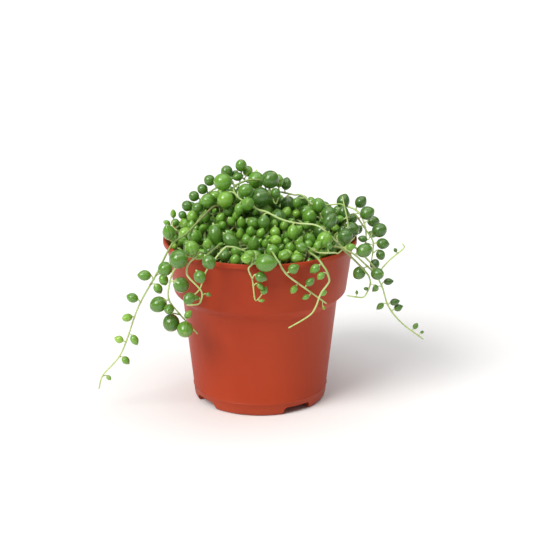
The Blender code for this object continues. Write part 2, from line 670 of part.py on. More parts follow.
def stem_mesh(name, path):
    """A closed four-sided tube along the path, a little thinner towards its tip."""
    curve = bpy.data.curves.new(name, "CURVE")
    curve.dimensions = "3D"
    curve.bevel_depth = STEM_RADIUS * MM
    curve.bevel_resolution = 0
    curve.use_fill_caps = True
    spline = curve.splines.new("POLY")
    spline.points.add(len(path) - 1)
    for number, (point, corner) in enumerate(zip(spline.points, path)):
        point.co = (*(corner * MM), 1.0)
        point.radius = 1.0 - 0.35 * number / len(path)
    guide = bpy.data.objects.new(name + "_guide", curve)
    bpy.context.scene.collection.objects.link(guide)
    bpy.context.view_layer.update()
    evaluated = guide.evaluated_get(bpy.context.evaluated_depsgraph_get())
    mesh = bpy.data.meshes.new_from_object(evaluated)
    bpy.data.objects.remove(guide)
    form = bmesh.new()
    form.from_mesh(mesh)
    bmesh.ops.remove_doubles(form, verts=form.verts, dist=0.00001)
    form.to_mesh(mesh)
    form.free()
    return mesh


def leaves_mesh(name, leaves):
    """Closed faceted drops, each with its lower pole drawn to its foot on the stem."""
    form = bmesh.new()
    for centre, foot, radius in leaves:
        upright = Vector(centre - foot).normalized()
        turn = Vector((0.0, 0.0, 1.0)).rotation_difference(upright).to_matrix().to_4x4()
        place = Matrix.Translation(Vector(centre * MM)) @ turn
        made = bmesh.ops.create_icosphere(form, subdivisions=1, radius=radius * MM, matrix=place)
        pole = min(made["verts"], key=lambda vert: (vert.co - Vector(foot * MM)).length)
        pole.co = Vector(foot * MM)
    mesh = bpy.data.meshes.new(name)
    form.to_mesh(mesh)
    form.free()
    return mesh


def make_plant(parts, cutters, material):
    """One solid for each strand: its stem joined with its leaves."""
    for name, path, leaves in grow_plant():
        stem = mesh_object(name, stem_mesh(name, path), parts, material)
        drops = mesh_object(name + "_leaves", leaves_mesh(name + "_leaves", leaves), cutters, material)
        hide_helper(drops)
        boolean(stem, drops, "UNION")


def main():
    clear_scene()
    parts = new_collection("potted_string_of_pearls")
    cutters = new_collection("cutters")
    pot_material = new_material("terracotta_plastic", (0.55, 0.13, 0.06), 0.45)
    soil_material = new_material("peat_soil", (0.05, 0.03, 0.02), 0.95)
    plant_material = new_material("pearl_green", (0.10, 0.30, 0.05), 0.35)
    make_pot(parts, cutters, pot_material)
    turned("soil", SOIL_WALL, parts, soil_material)
    make_plant(parts, cutters, plant_material)


main()
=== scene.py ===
"""Looks of the potted string of pearls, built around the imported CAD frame.

The plant is laid out in millimetres by the same steps as its CAD strands, and each strand then
gets a smooth skin. The pot, the soil, the light and the camera follow.
"""

import math
import random

import bmesh
import bpy
import numpy as np
from mathutils import Matrix, Vector


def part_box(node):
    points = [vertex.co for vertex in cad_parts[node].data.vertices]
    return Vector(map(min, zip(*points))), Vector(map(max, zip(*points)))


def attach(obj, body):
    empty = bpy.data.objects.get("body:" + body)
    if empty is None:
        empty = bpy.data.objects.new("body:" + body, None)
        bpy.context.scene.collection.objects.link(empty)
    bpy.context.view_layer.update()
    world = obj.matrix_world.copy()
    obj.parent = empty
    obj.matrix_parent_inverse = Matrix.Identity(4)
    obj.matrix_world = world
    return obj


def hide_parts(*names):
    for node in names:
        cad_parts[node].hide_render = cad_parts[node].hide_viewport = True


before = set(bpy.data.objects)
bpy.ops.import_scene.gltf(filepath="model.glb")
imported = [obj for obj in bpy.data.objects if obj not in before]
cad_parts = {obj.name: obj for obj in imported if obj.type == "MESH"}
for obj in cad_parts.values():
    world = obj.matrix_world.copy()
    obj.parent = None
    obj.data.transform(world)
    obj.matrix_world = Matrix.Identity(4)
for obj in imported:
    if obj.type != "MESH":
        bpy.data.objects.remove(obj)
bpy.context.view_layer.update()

MM = 0.001
POT_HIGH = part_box("pot")[1]
RIM_RADIUS = round(POT_HIGH.x / MM, 1)
RIM_HEIGHT = round(POT_HIGH.z / MM, 1)
SOIL_TOP = round(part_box("soil")[1].z / MM, 1)
GAP = 0.3

# ---- layout of the plant: sizes and places ----

STEM_RADIUS = 0.65
STEM_ROOM = 1.45
PETIOLE = 1.3
STEP = 3.0
GOLDEN_ANGLE = math.radians(137.508)
SEED = 44
SETTLE_ROUNDS = 420
GUIDED_FREEDOM = 0.35
PLACED_FREEDOM = 0.2
FILLER_FREEDOM = 1.0
LEAF_ROOM = 0.8
END_SHARE = 0.8
THINNING = 0.5
SEPARATE_ROUNDS = 60
FIT_ROUNDS = 60

# Each guided strand: its name, the corners of its route, and its leaves. A leaf has its distance
# along the route, the hour of the clock face it points to as seen from the front, how far it
# leans forward (0 to 1, negative is backward), and its diameter.
GUIDED = [
    ("strand_left_long",
     [(-12, -2, 86), (-17, -4, 104), (-25, -9, 110), (-37, -27, 102), (-46, -35, 97), (-54, -37, 82),
      (-63, -35, 66), (-69, -33, 50), (-75, -30, 34), (-85, -27, 21), (-88, -26, 12)],
     [(52, 6, 0, 7), (66, 11, 0, 7.6), (80, 3, 0.9, 7.6),
      (86, 4, 0, 5.5), (89, 10, 0, 6.2), (93, 4, 0, 5.3), (105, 10, 0, 5.6), (113, 9, 0.5, 5),
      (124, 4, 0.5, 5), (128, 9, 0, 4.4), (140, 4, 0, 4.4), (155, 4, 0, 2.8)]),
    ("strand_left_cluster",
     [(-20, -22, 86), (-21, -33, 96), (-29, -45, 93), (-40, -46, 91), (-46, -46, 84),
      (-48, -43, 70), (-45, -42, 64), (-37, -42, 54), (-33, -43, 50)],
     [(24, 11, 0, 4.7), (35, 12, 0.3, 7.7), (40, 12, 0.7, 10), (57, 3, 0, 8.4), (67, 8, 0, 8.8),
      (70, 8, 0.9, 5.8), (79, 2, 0.4, 4.2), (80, 8, 0.2, 9.2), (85, 9, 0.9, 8.8)]),
    ("strand_left_loop",
     [(-24, -34, 86), (-31, -44, 95), (-37, -49, 92), (-38, -51, 86), (-36, -52, 83),
      (-32, -53, 79), (-30, -53, 75), (-32, -53, 70), (-38, -52, 69)],
     [(17, 11, 0, 3.7), (45, 3, 0, 2.4), (50, 11, 0, 3), (53, 12, 0, 2.4)]),
    ("strand_front_beads",
     [(-8, -38, 86), (-7, -44, 95), (-17, -47, 99), (-23, -52, 94), (-28, -55, 88),
      (-31, -55, 79), (-34, -54, 75)],
     [(35, 10, 0.9, 7.2), (43, 10, 0.9, 6.4), (56, 9, 0.9, 6.4)]),
    ("strand_front_centre",
     [(4, -36, 86), (2, -44, 93), (-4, -55, 92), (-6, -56, 90), (-4, -56, 85), (-3, -55, 75),
      (-2, -54, 72), (0, -54, 74)],
     [(17, 10, 0, 6), (20, 3, 0.5, 10), (25, 11, 0.2, 5.5), (33, 2, 0.2, 5.7),
      (36, 3, 0.3, 3.4), (44, 3, 0, 2.2), (49, 1, 0, 4)]),
    ("strand_front_right",
     [(8, -40, 86), (6, -45, 96), (11, -54, 90), (15, -54, 85), (24, -50, 77), (35, -41, 66)],
     [(28, 2, 0, 5.4), (37, 7, 0, 4), (42, 1, 0, 4.4), (45, 7, 0, 3.2),
      (56, 1, 0, 3.4), (62, 7, 0, 1.8)]),
    ("strand_front_bare",
     [(22, -34, 86), (26, -40, 94), (33, -49, 89), (36, -48, 81), (32, -49, 75),
      (27, -48, 63), (15, -51, 56)],
     [(11, 10, 0, 6), (22, 8, 0, 5), (27, 8, 0, 4)]),
    ("strand_crossing",
     [(4, 10, 86), (6, 9, 112), (1, 5, 121), (-5, 1, 123), (-14, -4, 120), (-12, -10, 116),
      (-1, -18, 111), (16, -25, 106), (30, -28, 105), (41, -33, 97), (49, -33, 91),
      (59, -28, 80), (65, -24, 71), (69, -20, 58), (78, -14, 45), (90, -8, 34)],
     [(56, 10, 0, 9.6), (62, 2, 0, 7.5), (64, 8, 0, 8.9), (69, 7, 0, 5.7), (72, 0, 0.95, 7.2),
      (84, 7, 0, 7), (100, 6, 0.5, 6.7), (117, 6, 0.4, 8.4),
      (118, 1, 0, 7.9), (126, 2, 0, 7.4), (140, 1, 0.2, 7.8), (149, 8, 0.3, 7), (152, 2, 0, 5.7),
      (154, 2, 0.8, 7), (163, 2, 0, 4.3), (164, 8, 0, 3.5), (175, 8, 0, 3.8), (178, 2, 0, 4.4),
      (182, 2, 0, 4.3), (203, 1, 0, 3.2), (209, 1, 0, 1.8)]),
    ("strand_right_curl",
     [(32, -20, 86), (40, -25, 96), (48, -30, 96), (56, -31, 88), (63, -28, 79), (65, -26, 82),
      (71, -24, 86), (77, -22, 91), (76, -22, 93)],
     [(18, 12, 0, 5), (59, 12, 0, 2.2)]),
    ("strand_right_twig",
     [(29, -25, 86), (36, -32, 95), (42, -37, 95), (50, -37, 88), (58, -33, 79), (58, -33, 72),
      (54, -34, 67), (46, -37, 69)],
     [(12, 10, 0, 5), (24, 2, 0, 4), (51, 4, 0, 2.8), (57, 0, 0, 2.2), (63, 0, 0, 1.8)]),
    ("strand_right_upright",
     [(36, -12, 86), (41, -22, 99), (45, -20, 101), (47, -18, 103), (44, -14, 117)],
     [(12, 9, 0, 5), (28, 9, 0, 3.7)]),
    ("strand_right_drop",
     [(38, 0, 86), (50, -4, 104), (54, -6, 101), (58, -10, 96), (61, -13, 91), (60, -16, 81)],
     [(20, 10, 0, 6), (26, 2, 0, 7.6), (28, 8, 0, 8.8), (37, 2, 0, 8), (39, 8, 0, 4.3),
      (43, 3, 0, 6.3), (45, 9, 0, 4.3), (47, 3, 0, 5.3)]),
    ("strand_right_crown",
     [(34, 14, 86), (44, 16, 102), (52, 12, 103), (57, 5, 98), (58, -2, 91), (57, -6, 84)],
     [(14, 10, 0, 7), (19, 1, 0, 7.6), (25, 7, 0.5, 7), (29, 1, 0, 6.6), (34, 8, 0, 6),
      (38, 3, 0, 6.4), (43, 8, 0, 5), (46, 4, 0, 4)]),
    ("strand_skyline_right",
     [(10, 12, 86), (8, 8, 112), (17, 5, 113), (23, 4, 113), (30, 2, 108), (42, 1, 109),
      (46, 0, 108)],
     [(33, 0, 0, 6.2), (39, 7, 0, 8.6), (46, 6, 0, 7.6), (70, 6, 0, 6.6)]),
    ("strand_left_shoot",
     [(-42, 2, 86), (-45, -4, 95), (-47.5, -4, 98), (-47, -4, 101)],
     [(14, 10, 0, 3.4), (17, 0, 0, 4)]),
    ("strand_rim_runner",
     [(20, -30, 86), (23, -37, 96), (29, -40, 94), (39, -41, 94), (43, -36, 94), (50, -28, 98)],
     [(13, 7, 0, 6.3), (21, 0, 0, 4.2), (28, 0, 0, 3.8)]),
]

# Each placed strand lies on the mound: its name, and the middle (x, y, z) and the diameter of each
# leaf in turn. Its stem rises from the soil and runs under its leaves.
PLACED = [
    ("strand_skyline_left",
     [(-46.5, 4, 98, 4.4), (-42.5, 6, 101, 4.6), (-40, 8, 106, 6), (-35.5, 9, 111.5, 5.8),
      (-31.5, 10, 115, 5.8), (-28, 10, 119.5, 6.2), (-18, 10, 125, 6.6), (-14, 13, 122.5, 4.6),
      (-12, 8, 122.5, 5.2), (-10, 9, 128.5, 6.6), (-6.5, 12, 124.5, 6)]),
    ("strand_mound_peak",
     [(-0.5, 5, 122, 9.2), (5.5, -4, 124, 9.8), (8.5, -8, 117.5, 5.4), (11, 4, 121, 6)]),
    ("strand_mound_crown",
     [(1, -8, 115.5, 10.2), (4.5, -7, 106.5, 6), (14.5, -3, 105, 6), (12.5, -15, 101.5, 5),
      (15, -24, 98, 5), (16, -34, 94.5, 5.2), (12.5, -45, 93.5, 6.2), (20, -45, 91.5, 6.2)]),
    ("strand_mound_left",
     [(-24, 4, 112.5, 6.2), (-28.5, -2, 111.5, 7.8), (-33, -1, 108, 5.8), (-36.5, 2, 101.5, 6.8),
      (-42, 6, 96.5, 6.4), (-40.5, -8, 95, 7)]),
    ("strand_mound_lower_left",
     [(-29.5, -5, 104, 6), (-30.5, -12, 99, 4.8), (-41, -15, 92.5, 5.4)]),
    ("strand_mound_middle",
     [(-18.5, -6, 107.5, 6), (-20.5, -10, 104, 5.4), (-16, -14, 102.5, 4.8), (-20, -16, 101, 5.4),
      (-23, -20, 98, 9), (-15, -29, 97, 8.4), (-18.5, -40, 92, 6.2)]),
    ("strand_mound_centre",
     [(-13.5, -11, 105, 4.8), (-9.5, -16, 103, 5.6), (-5, -24, 99.5, 5.4), (-10.5, -26, 98.5, 4.8),
      (-3, -34, 96, 7.4), (-12.5, -38, 93.5, 6), (-13, -45, 90, 6.2)]),
    ("strand_mound_front",
     [(-4, -16, 103, 6.6), (0, -23, 100, 5), (7.5, -16, 102, 4.8), (8, -22, 99.5, 5.6),
      (8, -31, 97, 5.8), (2.5, -33, 96.5, 4.8), (6.5, -40, 93.5, 7)]),
    ("strand_mound_shoulder",
     [(20, -2, 110.5, 5.4), (24.5, 2, 105, 7.6), (19.5, -2, 104.5, 4.4), (25, -12, 101, 5.4)]),
    ("strand_mound_right",
     [(29.5, 6, 105.5, 6), (32.5, -3, 109, 7.6), (36.5, -8, 106.5, 8), (33, -8, 101.5, 3),
      (40.5, -8, 98, 4.4), (45, 4, 98, 5)]),
    ("strand_mound_lower_right",
     [(20.5, -28, 96, 5), (29, -32, 92, 5.2), (33, -34, 92, 5), (41.5, -22, 91.5, 7)]),
]

# Strands that hang over the back: heading in degrees from +X, drop below the rim, largest leaf.
TRAILING = [(34, 24, 6.5), (55, 46, 7.5), (75, 30, 7.0), (93, 56, 7.5), (112, 36, 7.0), (131, 44, 7.5)]
HANGING_TURN = math.radians(158.0)

# Strands that fill the mound as arms of a sunflower spiral, on top and one layer down.
ARM_SPREAD = 4.35
TOP_ARMS = 13
TOP_LEAVES = 130
TOP_DEPTH = 3.6
DEEP_ARMS = 8
DEEP_LEAVES = 48
DEEP_DEPTH = 12.0
LARGEST_RING = 46.5
LEAF_DIAMETERS = (5.4, 6.2, 6.8, 7.4, 8.2, 9.2)


# ---- layout of the plant: the same steps as for the CAD strands ----

def mound_height(x, y):
    """The height of the mound: a dome, its peak left of the middle, and a shoulder on each side."""
    dome = 15.0 * (1.0 - (x * x + y * y) / 52.0 ** 2)
    peak = 14.0 * math.exp(-((x + 8.0) / 20.0) ** 2 - ((y - 8.0) / 18.0) ** 2)
    right_shoulder = 9.0 * math.exp(-((x - 36.0) / 16.0) ** 2 - ((y - 5.0) / 20.0) ** 2)
    left_shoulder = 7.0 * math.exp(-((x + 30.0) / 14.0) ** 2 - ((y - 8.0) / 16.0) ** 2)
    return RIM_HEIGHT + dome + peak + right_shoulder + left_shoulder


def length_of(vectors):
    return np.sqrt((vectors * vectors).sum(axis=-1))


def unit(vector):
    return vector / length_of(vector)


def smooth_path(corners, step):
    """Points about a step apart on a smooth curve through the corners."""
    corners = np.array(corners, float)
    first = 2 * corners[0] - corners[1]
    last = 2 * corners[-1] - corners[-2]
    knots = np.vstack([first, corners, last])
    fine = []
    for before, start, stop, after in zip(knots, knots[1:], knots[2:], knots[3:]):
        for t in np.arange(20) / 20.0:
            slope = (stop - before) * t
            bend = (2 * before - 5 * start + 4 * stop - after) * t ** 2
            twist = (3 * start - before - 3 * stop + after) * t ** 3
            fine.append(0.5 * (2 * start + slope + bend + twist))
    fine = np.array(fine + [corners[-1]])
    along = distances_along(fine)
    marks = np.linspace(0.0, along[-1], max(3, round(along[-1] / step) + 1))
    return np.stack([np.interp(marks, along, fine[:, axis]) for axis in range(3)], axis=1)


def distances_along(path):
    return np.concatenate([[0.0], np.cumsum(length_of(path[1:] - path[:-1]))])


def clock_direction(hour, forward):
    """A unit vector towards an hour of the clock face, leaning forward by a share."""
    angle = math.radians(30.0 * hour)
    flat = math.sqrt(1.0 - forward ** 2)
    return np.array([flat * math.sin(angle), -forward, flat * math.cos(angle)])


class Strand:
    """A stem's path and its leaves, each a node of the path, a direction and a diameter."""

    def __init__(self, name, path, leaves, freedom):
        self.name = name
        self.path = path
        self.leaves = leaves
        self.freedom = freedom

    def leaf_place(self, node, direction, diameter):
        """The middle of a leaf: at a stalk's length in a unit direction, or at a given offset."""
        reach = STEM_RADIUS + PETIOLE + diameter / 2 if length_of(direction) < 1.001 else 1.0
        return self.path[node] + direction * reach


def guided_strands():
    """Strands that follow a route read off the photo."""
    strands = []
    for name, corners, leaves in GUIDED:
        path = smooth_path(corners, STEP)
        along = distances_along(path)
        placed = []
        for distance, hour, forward, diameter in leaves:
            node = int(np.argmin(np.abs(along - distance)))
            placed.append((node, clock_direction(hour, forward), diameter))
        strands.append(Strand(name, path, placed, GUIDED_FREEDOM))
    return strands


def trailing_strands(chance):
    """Strands that climb over the back of the rim and hang down outside the pot."""
    strands = []
    for number, (heading, drop, largest) in enumerate(TRAILING, start=1):
        angle = math.radians(heading)
        out = np.array([math.cos(angle), math.sin(angle), 0.0])
        side = np.array([-math.sin(angle), math.cos(angle), 0.0])
        up = np.array([0.0, 0.0, 1.0])
        sway = side * chance.uniform(-7.0, 7.0)
        corners = [out * 30 + up * 86, out * 44 + up * 97, out * 54 + up * 95.5,
                   out * 57.5 + sway * 0.3 + up * 88,
                   out * 56.5 + sway * 0.6 + up * (RIM_HEIGHT - 0.6 * drop),
                   out * 58.5 + sway + up * (RIM_HEIGHT - drop)]
        path = smooth_path(corners, STEP)
        turn = chance.uniform(0.0, 2 * math.pi)
        leaves = []
        for node in range(3, len(path), 2):
            done = node / (len(path) - 1)
            turn += HANGING_TURN
            direction = out * (0.75 + 0.2 * math.cos(turn)) + side * 1.1 * math.sin(turn) + up * 0.35
            taper = 1.0 - 0.62 * done ** 1.5
            leaves.append((node, unit(direction), largest * taper * chance.uniform(0.8, 1.08)))
        strands.append(Strand(f"strand_back_{number}", path, leaves, GUIDED_FREEDOM))
    return strands


def stem_under(root_ring, spots):
    """The path of a stem that rises from the soil and runs under leaves at the given spots."""
    towards = spots[min(2, len(spots) - 1)][0]
    root = unit(towards[:2]) * root_ring
    corners = [np.array([root[0], root[1], SOIL_TOP + 1.5])]
    for spot, diameter in spots:
        low = max(spot[2] - diameter / 2 - PETIOLE - 2.2, SOIL_TOP + 2.0)
        corners.append(np.array([spot[0], spot[1], low]))
    return smooth_path(corners, STEP)


def placed_strands():
    """Strands whose leaves are placed on the mound one by one."""
    strands = []
    for name, leaves in PLACED:
        spots = [(np.array([x, y, z], float), diameter) for x, y, z, diameter in leaves]
        path = stem_under(0.75 * length_of(spots[0][0][:2]), spots)
        hung = []
        for spot, diameter in spots:
            node = int(np.argmin(length_of(path - spot)))
            hung.append((node, spot - path[node], diameter))
        strands.append(Strand(name, path, hung, PLACED_FREEDOM))
    return strands


def arm_strands(layer, arms, leaf_count, depth, taken, chance):
    """Strands along the spiral arms of one layer, which leave out the leaves whose place is taken."""
    strands = []
    for arm in range(arms):
        spots = []
        for k in range(arm, leaf_count, arms):
            ring = min(ARM_SPREAD * math.sqrt(k + 0.6), LARGEST_RING)
            angle = k * GOLDEN_ANGLE + depth * 0.1
            x = ring * math.cos(angle) + chance.uniform(-1.3, 1.3)
            y = ring * math.sin(angle) + chance.uniform(-1.3, 1.3)
            diameter = chance.choice(LEAF_DIAMETERS)
            spot = np.array([x, y, mound_height(x, y) - depth])
            room = LEAF_ROOM * (taken[:, 3] + diameter) / 2
            if (length_of(taken[:, :3] - spot) > room).all():
                spots.append((spot, diameter))
        path = stem_under(8.0 + 26.0 * ((arm * 0.618) % 1.0), spots)
        leaves = []
        for spot, diameter in spots:
            node = int(np.argmin(length_of(path - spot)))
            lean = np.array([chance.uniform(-0.7, 0.7), chance.uniform(-0.7, 0.7), 0.0])
            leaves.append((node, unit(unit(spot - path[node]) + lean), diameter))
        strands.append(Strand(f"strand_{layer}_{arm + 1}", path, leaves, FILLER_FREEDOM))
    return strands


class Crowd:
    """All stem points and leaves as balls that may not overlap, with links along the stems."""

    def __init__(self, strands):
        places, radii, owners, nodes, leaf, freedom, links = [], [], [], [], [], [], []
        for owner, strand in enumerate(strands):
            start = len(places)
            for node, point in enumerate(strand.path):
                if node > 0:
                    links.append((len(places) - 1, len(places), 1.0))
                if node > 1:
                    links.append((len(places) - 2, len(places), 0.35))
                places.append(point)
                radii.append(STEM_ROOM)
                nodes.append(node)
                leaf.append(False)
            for node, direction, diameter in strand.leaves:
                links.append((start + node, len(places), 1.0))
                places.append(strand.leaf_place(node, direction, diameter))
                radii.append(diameter / 2 + GAP / 2)
                nodes.append(node)
                leaf.append(True)
            owners += [owner] * (len(places) - start)
            freedom += [strand.freedom] * (len(places) - start)
        self.places = np.array(places)
        self.radii = np.array(radii)
        self.owners = np.array(owners)
        self.nodes = np.array(nodes)
        self.leaf = np.array(leaf)
        self.freedom = np.array(freedom)
        self.link_from = np.array([link[0] for link in links])
        self.link_to = np.array([link[1] for link in links])
        self.link_strength = np.array([link[2] for link in links])

    def close_pairs(self, margin):
        """Pairs of balls that touch or nearly touch, apart from neighbours on one stem."""
        order = np.argsort(self.places[:, 0], kind="stable")
        xs = self.places[order, 0]
        ends = np.searchsorted(xs, xs + 2 * self.radii.max() + margin, side="right")
        pairs_from, pairs_to = [], []
        for position, one in enumerate(order):
            others = order[position + 1:ends[position]]
            room = self.radii[others] + self.radii[one] + margin
            others = others[length_of(self.places[others] - self.places[one]) < room]
            pairs_from.append(np.full(len(others), one))
            pairs_to.append(others)
        one = np.concatenate(pairs_from)
        other = np.concatenate(pairs_to)
        neighbours = (self.owners[one] == self.owners[other]) & ~(self.leaf[one] & self.leaf[other])
        neighbours &= np.abs(self.nodes[one] - self.nodes[other]) < 4
        return one[~neighbours], other[~neighbours]

    def corrections(self, one, other, wanted, strength, only_push):
        """How far each ball moves so that its pairs come to their wanted distances."""
        delta = self.places[other] - self.places[one]
        distance = length_of(delta) + 1e-9
        error = (wanted - distance) * strength
        if only_push:
            error = np.maximum(error, 0.0)
        used = (error != 0.0).astype(float)
        share = error / (self.freedom[one] + self.freedom[other]) / distance
        moves = np.zeros_like(self.places)
        size = len(self.places)
        for axis in range(3):
            amount = delta[:, axis] * share
            moves[:, axis] += np.bincount(other, amount * self.freedom[other], size)
            moves[:, axis] -= np.bincount(one, amount * self.freedom[one], size)
        return moves, np.bincount(one, used, size) + np.bincount(other, used, size)

    def keep_off_pot(self):
        """Moves balls out of the lip, the wall and the soil."""
        around = length_of(self.places[:, :2]) + 1e-9
        height = self.places[:, 2]
        room = self.radii + GAP / 2
        lip_ring, lip_height, lip_tube = RIM_RADIUS - 1.0, RIM_HEIGHT - 1.0, 1.15
        from_lip = np.sqrt((around - lip_ring) ** 2 + (height - lip_height) ** 2) + 1e-9
        stretch = np.maximum((room + lip_tube) / from_lip, 1.0)
        radius = lip_ring + (around - lip_ring) * stretch
        height = lip_height + (height - lip_height) * stretch
        low = height < RIM_HEIGHT
        outside = around > lip_ring
        wall_heights, wall_radii = zip(*OUTER_WALL[::-1])
        outer = np.interp(height, wall_heights, wall_radii) + room
        radius = np.where(low & outside, np.maximum(radius, outer), radius)
        inner = RIM_RADIUS - 2.6 - room - 0.12 * np.clip(RIM_HEIGHT - height, 0.0, 7.0)
        radius = np.where(low & ~outside, np.minimum(radius, inner), radius)
        height = np.where(outside, height, np.maximum(height, SOIL_TOP + room))
        self.places[:, 0] *= radius / around
        self.places[:, 1] *= radius / around
        self.places[:, 2] = height

    def settle(self):
        """Pushes overlapping balls apart while they are drawn, less and less, to their places."""
        targets = self.places.copy()
        rest = length_of(self.places[self.link_to] - self.places[self.link_from])
        for number in range(SETTLE_ROUNDS):
            if number % 10 == 0:
                one, other = self.close_pairs(2.0)
            wanted = self.radii[one] + self.radii[other]
            pushed, push_count = self.corrections(one, other, wanted, 1.0, True)
            linked, link_count = self.corrections(self.link_from, self.link_to, rest,
                                                  self.link_strength, False)
            shared = np.maximum(push_count + link_count, 1.0)
            self.places += 1.5 * (pushed + linked) / shared[:, None]
            pull = 0.03 * max(0.0, 1.0 - number / (0.75 * SETTLE_ROUNDS))
            self.places += (targets - self.places) * pull
            self.keep_off_pot()


def nearest_on_path(path, point):
    """The point of a path of straight runs that is nearest to a point, and short of its end."""
    runs = path[1:] - path[:-1]
    share = ((point - path[:-1]) * runs).sum(axis=1) / (runs * runs).sum(axis=1)
    most = np.ones(len(runs))
    most[-1] = END_SHARE
    feet = path[:-1] + runs * np.clip(share, 0.0, most)[:, None]
    return feet[np.argmin(length_of(feet - point))]


def thinned(path, tolerance):
    """The fewest points of a path whose straight runs stay within a tolerance of all its points."""
    kept = [0]
    for end in range(2, len(path)):
        start = kept[-1]
        run = path[end] - path[start]
        between = path[start + 1:end] - path[start]
        share = (between * run).sum(axis=1) / (run * run).sum()
        if length_of(between - run * share[:, None]).max() > tolerance:
            kept.append(end - 1)
    return path[kept + [len(path) - 1]]


def nearest_shares(starts, runs, other_starts, other_runs):
    """Where each run comes nearest to its other run, as a share of both lengths."""
    offset = starts - other_starts
    own = (runs * runs).sum(axis=1)
    both = (runs * other_runs).sum(axis=1)
    other = (other_runs * other_runs).sum(axis=1)
    own_offset = (runs * offset).sum(axis=1)
    other_offset = (other_runs * offset).sum(axis=1)
    spread = np.maximum(own * other - both * both, 1e-9)
    share = np.clip((both * other_offset - other * own_offset) / spread, 0.0, 1.0)
    other_share = np.clip((both * share + other_offset) / other, 0.0, 1.0)
    share = np.clip((both * other_share - own_offset) / own, 0.0, 1.0)
    return share, other_share


def separate_stems(paths):
    """Moves the points of different stems apart wherever their straight runs come too close."""
    points = np.vstack(paths)
    owners = np.concatenate([np.full(len(path), number) for number, path in enumerate(paths)])
    first = np.flatnonzero(owners[:-1] == owners[1:])
    one, other = np.triu_indices(len(first), 1)
    room = 2 * STEM_RADIUS + GAP
    middles = (points[first] + points[first + 1]) / 2
    reach = length_of(points[first + 1] - points[first]) / 2
    near = length_of(middles[one] - middles[other]) < reach[one] + reach[other] + 3 * room
    near &= owners[first[one]] != owners[first[other]]
    one, other = first[one[near]], first[other[near]]
    for _ in range(SEPARATE_ROUNDS):
        runs = points[one + 1] - points[one]
        other_runs = points[other + 1] - points[other]
        share, other_share = nearest_shares(points[one], runs, points[other], other_runs)
        delta = points[other] + other_runs * other_share[:, None] - points[one] - runs * share[:, None]
        distance = length_of(delta) + 1e-9
        error = np.maximum(room - distance, 0.0)
        used = (error > 0.0).astype(float)
        push = delta * (0.6 * error / distance)[:, None]
        moves = np.zeros_like(points)
        counts = np.zeros(len(points))
        for node, sign in ((one, -1.0), (one + 1, -1.0), (other, 1.0), (other + 1, 1.0)):
            counts += np.bincount(node, used, len(points))
            for axis in range(3):
                moves[:, axis] += sign * np.bincount(node, push[:, axis], len(points))
        points = points + moves / np.maximum(counts, 1.0)[:, None]
    return np.split(points, np.flatnonzero(owners[:-1] != owners[1:]) + 1)


def grow_plant():
    """All strands, each as (name, stem path, leaves), with a leaf as (centre, foot, radius)."""
    chance = random.Random(SEED)
    strands = guided_strands() + placed_strands() + trailing_strands(chance)
    taken = np.array([[*strand.leaf_place(*leaf), leaf[2]] for strand in strands for leaf in strand.leaves])
    strands += arm_strands("top", TOP_ARMS, TOP_LEAVES, TOP_DEPTH, taken, chance)
    strands += arm_strands("deep", DEEP_ARMS, DEEP_LEAVES, DEEP_DEPTH, taken, chance)
    crowd = Crowd(strands)
    crowd.settle()
    paths = []
    for owner in range(len(strands)):
        nodes = crowd.places[(crowd.owners == owner) & ~crowd.leaf]
        root = np.array([nodes[0][0], nodes[0][1], SOIL_TOP + GAP])
        paths.append(np.vstack([root, thinned(nodes, THINNING)]))
    paths = separate_stems(paths)
    centres = crowd.places[crowd.leaf]
    owners = crowd.owners[crowd.leaf]
    radii = fitted_radii(centres, crowd.radii[crowd.leaf] - GAP / 2, owners, paths)
    plant = []
    for owner, (strand, path) in enumerate(zip(strands, paths)):
        mine = owners == owner
        leaves = [(centre, nearest_on_path(path, centre), radius)
                  for centre, radius in zip(centres[mine], radii[mine])]
        plant.append((strand.name, path, leaves))
    return plant


def fitted_radii(centres, radii, owners, paths):
    """Leaf radii made smaller where a leaf would touch another leaf or another strand's stem."""
    apart = length_of(centres[:, None] - centres[None]) + np.eye(len(centres)) * 1000
    for _ in range(FIT_ROUNDS):
        overlap = (radii[:, None] + radii[None] + GAP - apart).max(axis=1)
        radii = radii - np.maximum(overlap, 0.0) / 2
    fitted = []
    for centre, radius, owner in zip(centres, radii, owners):
        for other, path in enumerate(paths):
            if other != owner:
                clear = length_of(nearest_on_path(path, centre) - centre) - STEM_RADIUS - GAP
                radius = min(radius, clear)
        fitted.append(radius)
    return np.array(fitted)


# ---- pot and soil: outlines as (height, radius) and other sizes, in millimetres ----

# The outside wall from the top down, which the strands keep clear of.
OUTER_WALL = [(91.0, 53.0), (88.4, 53.0), (88.2, 50.9), (78.6, 49.7), (61.6, 47.2), (57.2, 42.6),
              (7.2, 37.2), (6.8, 37.4), (6.3, 37.0), (3.0, 36.8), (0.8, 36.2), (0.0, 35.4)]
